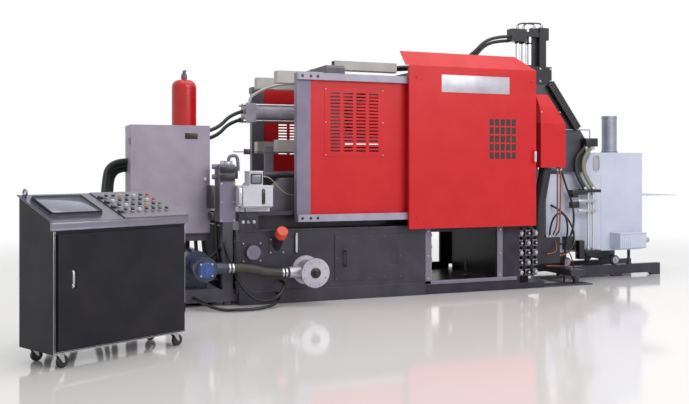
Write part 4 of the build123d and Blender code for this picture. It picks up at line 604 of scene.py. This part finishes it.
def console_vents():
    """Two rounds of punched breathing holes on the console's left side, drawn as black discs of painted
    shade.
    """
    back, high, low = 220, 741, 262
    steps = []
    for height in (high, low):
        for ring, count in ((0, 1), (12, 6), (24, 12)):
            for at in range(count):
                turn = 2 * math.pi * at / count
                steps.append((0, back + ring * math.cos(turn), height + ring * math.sin(turn)))
    # Each hole is a thin black disc: painted shade of its inside
    dot = turned((0, 0, 0), [(-0.2, 7), (0.3, 7), (0.3, 5.4), (-0.1, 5.2)], (-1, 0, 0), 10)
    gather("console_vent_holes", copies(dot, steps), box_black, place=console_place)


def console_pull():
    """The flush lever latch in the door's recess."""
    latch = [slab((115, 10, 471), (143, 13.6, 579), 1.2), slab((121, 4.5, 496), (137, 10.5, 572), 3),
             turned((129, 10.5, 484), [(0, 14), (4, 14), (5, 11)], sides=20)]
    gather("console_latch", latch, body="console_front_door", place=console_place)


console_screen()
console_buttons()
console_trims()
console_vents()
console_pull()


# Sliding door and guards

door_front, rail_front, louvre_front, nozzle_guard_front = -870, -820, -783, -740
door_body = "sliding_guard_door"


def door_details():
    """Corner screws, the bare nameplate, and the white grip sleeve of the sliding door."""
    corners = grid((-1182, 52), door_front, (735, 2020))
    gather("door_screws", bolts(corners, 9, 20), guard_red, door_body)
    plate_front = door_front - 1.6
    plate = slab((-926, plate_front, 1890), (-196, door_front, 2052), 0.7)
    gather("door_nameplate_blank", [plate], cast_aluminium, door_body)
    rivets = bolts(grid((-914, -208), plate_front, (1902, 2040)), 4, 16)
    gather("door_nameplate_rivets", rivets, body=door_body)
    sleeve = turned((75, -904, 1246), [(0, 17), (0, 20.5), (3, 22), (97, 22), (100, 20.5), (100, 17)], upward)
    gather("door_grip_sleeve", [sleeve], white_plastic, door_body)


def guard_screws():
    """Dark screws at the rails' left ends, small bright ones round the louvre and on the nozzle guard."""
    gather("rail_screws", bolts(grid((-2268, -2190, -2125), rail_front, (744, 1995)), 12), box_black)
    gather("louvre_screws", bolts(grid((-2038, -1484), louvre_front, (1303, 1596, 1889)), 5, 16))
    gather("nozzle_guard_screws", bolts(grid((258, 472), nozzle_guard_front, (1740,)), 7, 16))


door_details()
guard_screws()


# Oil tank, strainer, pump, lubricator and valve column

tank_face, tank_end = -740, -2819
panel_face = tank_face - 8
strainer_middle, pump_middle = (-2219, -1026, 286), (-3149, -960, 343)
hose_run, bottle_axis, column_face, column_top = -870, -3148, -700, 1215


def tank_details():
    """Black sheet of painted shade on the tank's end, cable channel, gauge glass, orange filler cap, screws,
    plates and plugs.
    """
    # A thin black sheet over the tank's end face: painted shade
    mat = slab((tank_end - 4.5, -690, 96), (tank_end, 690, 640), 1)
    gather("tank_end_mat", [mat], tank_end_shade_finish)
    channel = [slab((-2846, -739, 96), (tank_end, -700, 646), 3)]
    channel += [slab((-2850, -742, z), (tank_end, -696, z + 20), 1.5) for z in (180, 360, 540)]
    gather("tank_cable_channel", channel, box_black)
    glass = slab((-2311, tank_face - 20, 456), (-2293, tank_face - 16, 596), 1.5)
    gather("gauge_glass", [glass], white_plastic)
    heads = [turned((-2302, tank_face - 17, z), [(0, 22), (6, 22), (8, 16)], sides=6) for z in (448, 604)]
    gather("gauge_screws", heads)
    cap = turned((-2479, tank_face, 505), [(150, 88), (150, 102), (154, 105), (176, 105), (180, 101),
                                           (216, 100.5), (222, 94), (224, 60)], (0, -0.768, 0.64), 36)
    gather("filler_cap_orange", [cap], cap_orange)
    edge = grid((-1922, -1760, -1606, -1452, -1290), panel_face, (187, 563))
    edge += grid((-1922, -1290), panel_face, (375,))
    gather("access_panel_screws", bolts(edge, 8), frame_grey)
    corners = [place for x, z, half in ((-2705, 457, 76), (-2479, 505, 58))
               for place in grid((x - half, x + half), panel_face, (z - half, z + half))]
    gather("tank_plate_screws", bolts(corners, 7))
    port = turned((-2705, -802, 457), [(-1, 126.5), (0, 126.5), (3, 122), (3, 96), (2, 94)], sides=48)
    gather("blind_port_cover", [port], lilac_enamel)
    plugs = [turned((x, tank_face, 718), [(0, 34), (4, 34), (4, 26), (16, 26), (18, 20)], sides=6)
             for x in (-2782, -2734, -2686)]
    gather("valve_block_plugs", plugs)


def strainer_details():
    """Cover bolts, the dark nut in the middle, and the suction hose's clamps."""
    x, y, z = strainer_middle
    bolt_circle = 104
    turns = [math.radians(45 * at + 22.5) for at in range(8)]
    ring = [(x + bolt_circle * math.cos(turn), y, z + bolt_circle * math.sin(turn)) for turn in turns]
    gather("strainer_cover_bolts", bolts(ring, 11))
    nut = [turned(strainer_middle, [(0, 70), (4, 70), (8, 50), (26, 46), (30, 34)], sides=6),
           turned(strainer_middle, [(0, 92), (3, 92), (4, 88)], sides=32)]
    gather("strainer_centre_nut", nut, box_black)
    bands = []
    for x, z in ((-2446, 284), (-2476, 284), (-2946, 343), (-2916, 342)):
        bands.append(turned((x, hose_run, z), [(0, 79), (0, 86), (1, 88), (15, 88), (16, 86), (16, 79)],
                            to_right, 32))
        bands.append(slab((x + 2, -922, z - 9), (x + 14, -908, z + 9), 2))
    gather("suction_hose_clamps", bands)


def pump_details():
    """Cover and bolts of the vane pump."""
    x, y, z = pump_middle
    bolt_circle = 66
    cover = turned(pump_middle, [(0, 128), (6, 128), (10, 112), (16, 108), (16, 60), (24, 56)], sides=36)
    gather("pump_cover", [cover], pump_patch)
    ring = [(x + bolt_circle * math.cos(turn), y, z + bolt_circle * math.sin(turn))
            for turn in (0.785, 2.356, 3.927, 5.498)]
    gather("pump_bolts", bolts(ring, 10))


def lubricator_details():
    """Lid, sight glass, mounting strip and display of the lubricator."""
    lid = [slab((-2800, -803, 1019), (-2529, -607, 1034), 3),
           slab((-2799, -802, 855), (-2530, -608, 866), 2.5),
           slab((-2742, -792, 1146), (-2616, -620, 1160), 4)]
    gather("lubricator_lid", lid, white_plastic)
    sight = frame_ring((-14, -66, 0), (14, 66, 5), 12, 4, 3)
    gather("lubricator_sight_frame", [sight], box_black, place=upright(-2.617, -0.8, 0.938))
    glass = slab((-2625, -802.6, 884), (-2609, -801.4, 992), 0.5)
    gather("lubricator_sight_glass", [glass], sight_oil)
    strip = slab((-2836, -798, 872), (-2806, -790, 1014), 1.5)
    gather("lubricator_mounting_strip", [strip] + bolts(grid((-2821,), -798, (888, 925, 962, 999)), 6))
    panel = frame_ring((-50, -44, 0), (50, 44, 6), 8, 9, 3)
    gather("lubricator_display_frame", [panel], box_black,
           place=upright(-2.679, -0.788, 1.092))
    display = slab((-2719, -791.6, 1058), (-2639, -790.4, 1126), 0.5)
    gather("lubricator_display", [display], screen_glass)


def bottle_valve():
    """The dark valve on the bottle's neck, with its hexagon and side port."""
    sleeve = turned((bottle_axis, 0, 2008), [(0, 46.5), (0, 54), (4, 56), (30, 56), (34, 52), (44.5, 52),
                                             (46, 44)], upward, 32)
    head = turned((bottle_axis, 0, 2051), [(0, 38), (14, 38), (17, 30), (34, 28), (38, 20)], upward, 6)
    port = turned((bottle_axis, -20, 2078), [(0, 16), (22, 16), (22, 22), (34, 22), (36, 18)], sides=12)
    gather("bottle_valve", [sleeve, head, port], cast_grey)


def column_details():
    """Side valves, elbow tube, coils, plate screws and top plugs of the valve column."""
    side = [slab((-3058, -690, 836), (-3019, -540, 1036), 5), slab((-3050, -680, 735), (-3019, -550, 800), 5),
            slab((-2838, -660, 1090), (-2806, -560, 1200), 5)]
    gather("column_side_valves", side, box_black)
    elbow = pipe([(-2866, -560, 1240), (-2866, -560, 1282), (-2830, -560, 1296), (-2790, -560, 1290),
                  (-2780, -560, 1230), (-2780, -560, 1158)], 30)
    gather("column_elbow_tube", [elbow], lilac_enamel)
    coils = [slab((-2970, -716, z), (-2846, -688, z + 48), 5) for z in (1078, 1146)]
    gather("column_coils", coils, box_black)
    gather("column_plate_screws", bolts(grid((-2962, -2853), column_face, (733, 892, 1050)), 8))
    tops = [turned((x, y, column_top), [(0, 34), (10, 34), (10, 26), (30, 24), (34, 18)], upward, 6)
            for x, y in ((-2950, -650), (-2908, -650), (-2866, -650), (-2908, -560))]
    gather("column_top_plugs", tops)


tank_details()
strainer_details()
pump_details()
lubricator_details()
column_details()
bottle_valve()


# Clamp cylinder and mast

def cylinder_details():
    """Tie rods and rings of the clamp cylinder, and the curved line over it with its nuts."""
    axis = 1708
    rods = [turned((-2606, y, axis + z), [(0, 26), (22, 26), (22, 18), (674, 18), (674, 26), (700, 26)],
                   to_right, 12) for y in (-76, 76) for z in (-76, 76)]
    gather("cylinder_tie_rods", rods)
    rings = [turned((x, 0, axis), [(0, 131), (0, wide), (2, wide + 4), (thick - 2, wide + 4), (thick, wide),
                                   (thick, 131)], to_right, 40)
             for x, wide, thick in ((-2484, 150, 26), (-2230, 134, 10), (-1954, 160, 24))]
    gather("cylinder_rings", rings, cylinder_pale)
    line = pipe([(-2530, -20, 1796), (-2530, -20, 1850), (-2470, -20, 1895), (-2360, -10, 1950),
                 (-2230, 0, 1990), (-2080, 0, 2006), (-1960, 0, 2006), (-1899, 0, 2006)], 28)
    gather("cylinder_upper_line", [line], cover_beige)
    nuts = [turned(place, [(0, 44), (16, 44), (20, 34)], way, 6)
            for place, way in (((-2530, -20, 1798), upward), ((-1900, 0, 2006), (-1, 0, 0)))]
    gather("cylinder_line_nuts", nuts)


def mast_details():
    """Fittings and hose loops on the mast's head, bolts of its column, and black discs of painted shade for
    its bores.
    """
    column_front, rod_line, port_line = -265, -215, -240
    tops = [turned(place, [(0, 40), (12, 40), (12, 30), (34, 28), (38, 22)], upward, 6)
            for place in ((314, rod_line, 2638), (387, rod_line, 2638), (503, port_line, 2653),
                          (596, port_line, 2665))]
    gather("mast_top_fittings", tops)
    loops = [pipe([(314, -215, 2660), (314, -215, 2686), (350, -225, 2704), (440, -232, 2706),
                   (503, -240, 2702), (503, -240, 2678)], 15),
             pipe([(387, -215, 2660), (387, -215, 2682), (430, -215, 2712), (520, -220, 2716),
                   (596, -240, 2712), (596, -240, 2690)], 15)]
    gather("mast_hose_loops", loops, box_black)
    # Each bore is a thin black disc: painted shade of its inside
    bores = [turned((596, column_front, z), [(0, 22), (1, 22), (1.4, 17)], sides=20) for z in (2371, 2300)]
    gather("mast_bores", bores, box_black)
    gather("mast_base_bolts", bolts(grid((560, 690), column_front, (1990, 2100, 2230)), 12))
    collars = [turned((x, rod_line, z), [(0, wide), (0, wide + 14), (14, wide + 14), (16, wide + 8),
                                         (16, wide)], upward, 28)
               for x, wide in ((314, 43.4), (387, 56.4), (460, 54.4)) for z in (2254, 2490)]
    gather("mast_collars", collars, box_black)


cylinder_details()
mast_details()


# Injection end: valves, pipes, spray hoses, chain, furnace fittings

def manifold_details():
    """Coils, plugs and blocks on the valve bars, and the bars' black side cover."""
    bar_step, valve_step = 84, 96
    cells = [(bar, row) for bar in range(3) for row in range(5)]
    place = {(bar, row): (bar * bar_step, 0, row * valve_step) for bar, row in cells}
    coil = turned((32, -694, 158), [(0, 40), (4, 43), (36, 43), (40, 38)], sides=16)
    cap = turned((32, -734, 158), [(0, 24), (8, 24), (10, 18)], sides=6)
    bright = [twin(coil, place[cell]) for cell in cells if sum(cell) % 2 == 0]
    black = copies(coil, [place[cell] for cell in cells if sum(cell) % 2])
    gather("valve_coils_black", black, box_black)
    gather("valve_bodies_bright", bright + copies(cap, place.values()))
    blocks = copies(slab((6, -712, 126), (58, -693, 190), 4), place.values())
    gather("valve_blocks_lilac", blocks, lilac_enamel)
    cover = slab((-32, -655, 118), (-2, -560, 582), 2)
    gather("valve_bar_cover", [cover], box_black)


def duct_and_tubes():
    """Copper tubes and bent tubes between the service box, the guard and the cheek."""
    tubes = [pipe([(455, -722, 1230), (455, -722, 1100), (456, -722, 800), (458, -716, 640), (462, -680, 560),
                   (466, -640, 530), (466, -630, 488)], 16),
             pipe([(492, -722, 1230), (492, -722, 1080), (491, -722, 820), (490, -712, 600), (496, -690, 540),
                   (500, -640, 520), (500, -620, 488)], 16),
             pipe([(524, -640, 300), (600, -640, 300), (660, -620, 330), (700, -600, 300), (760, -560, 210),
                   (790, -540, 152)], 12)]
    gather("copper_tubes", tubes, copper)
    duct_line, box_top, box_side = -722, 489, 524
    fittings = [turned((x, duct_line, 1160), [(0, 17), (0, 30), (40, 30), (44, 24), (44, 17)], upward, 6)
                for x in (455, 492)]
    fittings += [turned((x, y, box_top), [(0, 34), (14, 34), (20, 24), (20, 16)], upward, 6)
                 for x, y in ((466, -630), (500, -620), (420, -650), (380, -655))]
    fittings += [turned((box_side, y, z), [(0, 34), (14, 34), (20, 24)], to_right, 6)
                 for y, z in ((-640, 300), (-620, 420), (-560, 360), (-500, 430), (-600, 250))]
    gather("service_box_fittings", fittings)
    bent = pipe([(640, -438, 1578), (640, -470, 1582), (700, -470, 1584), (1000, -470, 1586),
                 (1032, -470, 1586), (1039, -470, 1574), (1039, -470, 1496)], 13)
    gather("spray_feed_tube", [bent])


def furnace_side_boxes():
    """Small black boxes beside the spray rods and on the furnace's side, with their tubes."""
    boxes = [slab((766, -540, 908), (934, -470, 958), 4), slab((788, -528, 880), (850, -482, 910), 3),
             slab((776, -530, 770), (866, -466, 834), 4), slab((742, -470, 330), (850, -401, 470), 4)]
    gather("furnace_side_switches", boxes, box_black)
    tubes = [pipe([(330, -704, 330), (330, -724, 330), (380, -730, 332), (440, -724, 350), (462, -700, 400),
                   (468, -668, 450), (468, -650, 489)], 9),
             pipe([(330, -704, 210), (330, -722, 210), (400, -730, 208), (500, -726, 204), (600, -700, 196),
                   (650, -670, 150), (655, -660, 20)], 9),
             pipe([(520, -560, 260), (580, -560, 256), (640, -540, 240), (690, -480, 236),
                   (700, -400, 330)], 10)]
    gather("service_brass_tubes", tubes, copper)


def limit_switch():
    """The limit switch on its thin bar from the saddle's cheek."""
    switch = [slab((-2820, -546, 1324), (-2250, -538, 1332)),
              slab((-2722, -558, 1306), (-2664, -526, 1354), 3),
              turned((-2693, -560, 1330), [(0, 26), (6, 26), (8, 20)], sides=20)]
    gather("limit_switch", switch, box_black)


def spray_parts():
    """The spray blocks, four bowed hoses, rods and fittings, in place of the plain solid."""
    middle, rod_places, swing = -490, (1001, 1064), 36
    blocks = [slab((942, -540, 1410), (1090, -440, 1496), 4), slab((930, -540, 930), (1130, -400, 962), 3),
              slab((930, -540, 302), (1130, -400, 327), 3), slab((866, -530, 236), (930, -452, 430), 4)]
    places = zip((960, 996, 1034, 1071), (852, 892, 946, 988), (950, 990, 1054, 1096))
    hoses, ends = [], []
    for at, (top, bow, foot) in enumerate(places):
        y = middle + (at % 2 - 0.5) * swing
        hoses.append(pipe([(top, y, 1426), (top - 26, y, 1386), (bow - 22, y, 1290), (bow - 24, y, 1150),
                           (foot - 62, y, 1040), (foot - 12, y, 975), (foot, y, 946)], 33, 6))
        ends.append(turned((top - 8, y, 1412), [(0, 46), (26, 46), (34, 38), (34, 33)], (0.5, 0, -1), 12))
        ends.append(turned((foot, y, 960), [(0, 46), (20, 46), (30, 38), (30, 33)], (-0.5, 0, 1), 12))
    rods = [turned((x, middle, 326), [(0, 22), (604, 22)], upward, 20) for x in rod_places]
    collars = [turned(place, [(0, 22), (0, 40), (24, 40), (26, 34), (26, 22)], upward, 20)
               for place in grid(rod_places, middle, (327, 700, 800, 904))]
    brackets = [slab((860, -520, z), (1092, -500, z + 30), 3) for z in (724, 826)]
    for piece in (gather("spray_blocks", blocks, box_black),
                  gather("spray_hoses_dark", hoses[:2], spray_dark),
                  gather("spray_hoses_light", hoses[2:], spray_light),
                  gather("spray_hose_sleeves", ends), gather("spray_rods", rods, hard_chrome),
                  gather("spray_rod_collars", collars), gather("spray_brackets", brackets), cable_chain()):
        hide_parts("spray_hoses")


def cable_chain():
    """The link chain beside the cheek's sloped edge."""
    count, pitch, run, fall = 23, 25, 414, 566
    along = Vector((run, 0, -fall)).normalized()
    link = slab((-11.5, -502, -14), (11.5, -440, 66), 4)
    link.matrix_world = Matrix.Rotation(math.atan2(fall, run), 4, "Y") @ link.matrix_world
    start = Vector((513, 0, 2047)) + along * 16
    links = copies(link, [start + along * (pitch * at) for at in range(count)])
    return gather("cable_chain_links", links, box_black)


def furnace_details():
    """Oval handle ring, burner louvres, flue rings, wheel hubs and panel seams of the furnace."""
    ring = frame_ring((-42, -87, 0), (42, 87, 7), 41, 11, 6)
    gather("furnace_oval_ring", [ring], cast_aluminium, place=upright(1.175, -0.4, 1.235))
    slats = [slab((1380 + 26 * at, -569, 352), (1394 + 26 * at, -565, 468), 1.5) for at in range(5)]
    lid = slab((1352, -569, 484), (1703, -400, 496), 3)
    gather("burner_louvres", slats + [lid], furnace_pale)
    flange = turned((1699, -482.5, 409.5), [(0, 96), (12, 96), (14, 80), (50, 80), (54, 60), (90, 56)],
                    to_right)
    gather("burner_flange", [flange], cast_aluminium)
    bands = [turned((1660, 0, z), [(0, 165), (0, 173), (2, 175), (16, 175), (18, 173), (18, 165)], upward, 40)
             for z in (1366, 1744)]
    gather("flue_bands", bands, flue_grey)
    hubs = [turned((x, -265, 179.3), [(0, 78), (5, 78), (8, 60), (8, 34), (18, 30), (20, 20)], sides=28)
            for x in (900, 1536)]
    gather("carriage_hubs", hubs, cast_aluminium)
    seams = [slab((x, -403, 320), (x + 5, -399, 1100), 1) for x in (560, 900, 1236)]
    seams += [slab((542, -403, 1104), (1240, -399, 1120)), slab((1244, -403, 310), (1780, -399, 322))]
    gather("furnace_seams", seams, furnace_pale)


manifold_details()
duct_and_tubes()
furnace_side_boxes()
limit_switch()
spray_parts()
furnace_details()


# Cabinet and portal

def cabinet_details():
    """The bare dark plate and the turn latch of the cabinet door."""
    plate = slab((-3238, -501.6, 1438), (-3126, -500, 1489), 0.6)
    gather("cabinet_plate_blank", [plate], box_black, "cabinet_front_door")
    latch = turned((-3062, -510, 1087.5), [(0, 30), (3, 30), (5, 26), (5, 12), (12, 10)], sides=28)
    gather("cabinet_latch", [latch], body="cabinet_front_door")


def portal_edges():
    """Painted edges round the portal's opening, a black sheet of painted shade at its back, its floor bar and
    side tube.
    """
    edge_face = tank_face - 4
    # A black sheet at the portal's back keeps the opening dark: painted shade
    gather("portal_back_flap", [slab((-56, 700, 100), (130, 711, 612))], box_black)
    bar = turned((-178, 0, 60), [(0, 60), (8, 60), (12, 34), (110, 34), (118, 22), (170, 22), (176, 14)],
                 upward, 20)
    gather("portal_floor_bar", [bar], cast_grey)
    tube = pipe([(-962, -720, 130), (-962, -720, 250), (-958, -722, 400), (-962, -720, 500),
                 (-962, -720, 618)], 14)
    joints = [turned((-962, -720, z), [(0, 15), (0, 28), (26, 28), (30, 20), (30, 15)], upward, 6)
              for z in (200, 310, 430, 540)]
    gather("portal_side_tube", [tube, *joints])
    strips = [slab((left, edge_face, low), (right, tank_face, high), 1)
              for left, low, right, high in ((-1029, 96, -972, 622), (-1029, 93, -30, 127),
                                             (-252, 127, -192, 622))]
    gather("portal_edge_strips", strips, lilac_enamel)
    gather("portal_edge_screws", bolts(grid((-1001, -222), edge_face, (150, 360, 590)), 10))


cabinet_details()
portal_edges()


# Floor and studio light

def seen_rays(tree):
    """One for the rays that the camera, metal and glass send out."""
    path = add(tree, "LightPath", {})
    seen = add(tree, "Math", {0: path.outputs["Is Camera Ray"], 1: path.outputs["Is Glossy Ray"]},
               operation="MAXIMUM")
    return add(tree, "Math", {0: seen, 1: path.outputs["Is Transmission Ray"]}, operation="MAXIMUM")


def studio_floor():
    """A pale, slightly glossy floor that keeps the machine's shadow and fades to white far from it."""
    bpy.ops.mesh.primitive_grid_add(x_subdivisions=4, y_subdivisions=4, size=160, location=(0, 0, 0))
    floor = bpy.context.object
    floor.name = "studio_floor"
    finish, tree, place = new_finish("pale_studio_floor")
    clouds = add(tree, "TexNoise", {"Vector": place, "Scale": 0.7, "Detail": 3.0})
    sheen = add(tree, "MapRange", {"Value": clouds, "To Min": 0.06, "To Max": 0.12})
    shader = add(tree, "BsdfPrincipled", {"Base Color": linear("#EFEDEC"), "Roughness": sheen,
                                          "Specular IOR Level": 0.5})
    away = add(tree, "VectorMath", {0: place, 1: (-1.3, -1.2, 0)}, operation="DISTANCE").outputs["Value"]
    far = add(tree, "MapRange", {"Value": away, "From Min": 5.0, "From Max": 10.0},
              interpolation_type="SMOOTHSTEP")
    share = add(tree, "Math", {0: far, 1: seen_rays(tree)}, operation="MULTIPLY")
    white = add(tree, "Emission", {"Color": (1, 1, 1, 1), "Strength": 1.0})
    mixed = add(tree, "MixShader", {0: share, 1: shader, 2: white})
    add(tree, "OutputMaterial", {"Surface": mixed})
    floor.data.materials.append(finish)


def studio_light(name, place, aim, size, power):
    """A large soft lamp aimed at a point."""
    bpy.ops.object.light_add(type="AREA", location=place)
    lamp = bpy.context.object
    lamp.name = name
    lamp.data.shape = "RECTANGLE"
    lamp.data.size, lamp.data.size_y = size
    lamp.data.energy = power
    lamp.rotation_euler = (Vector(aim) - Vector(place)).to_track_quat("-Z", "Y").to_euler()


def studio_world():
    """White surroundings that the camera, metal and glass see, and that light the shadows softly."""
    world = bpy.data.worlds.new("studio_world")
    bpy.context.scene.world = world
    world.use_nodes = True
    tree = world.node_tree
    tree.nodes.clear()
    level = add(tree, "MapRange", {"Value": seen_rays(tree), "To Min": 0.53, "To Max": 1.0})
    sky = add(tree, "Background", {"Color": (1, 1, 1, 1), "Strength": level})
    add(tree, "OutputWorld", {"Surface": sky})


studio_floor()
studio_world()
studio_light("front_lamp", (1.5, -9.0, 5.0), (-0.8, -0.5, 1.1), (6, 4), 345)
studio_light("top_lamp", (-1.0, -1.5, 6.5), (-1.0, -0.5, 0.5), (8, 5), 205)
bpy.context.scene.view_settings.view_transform = "Standard"
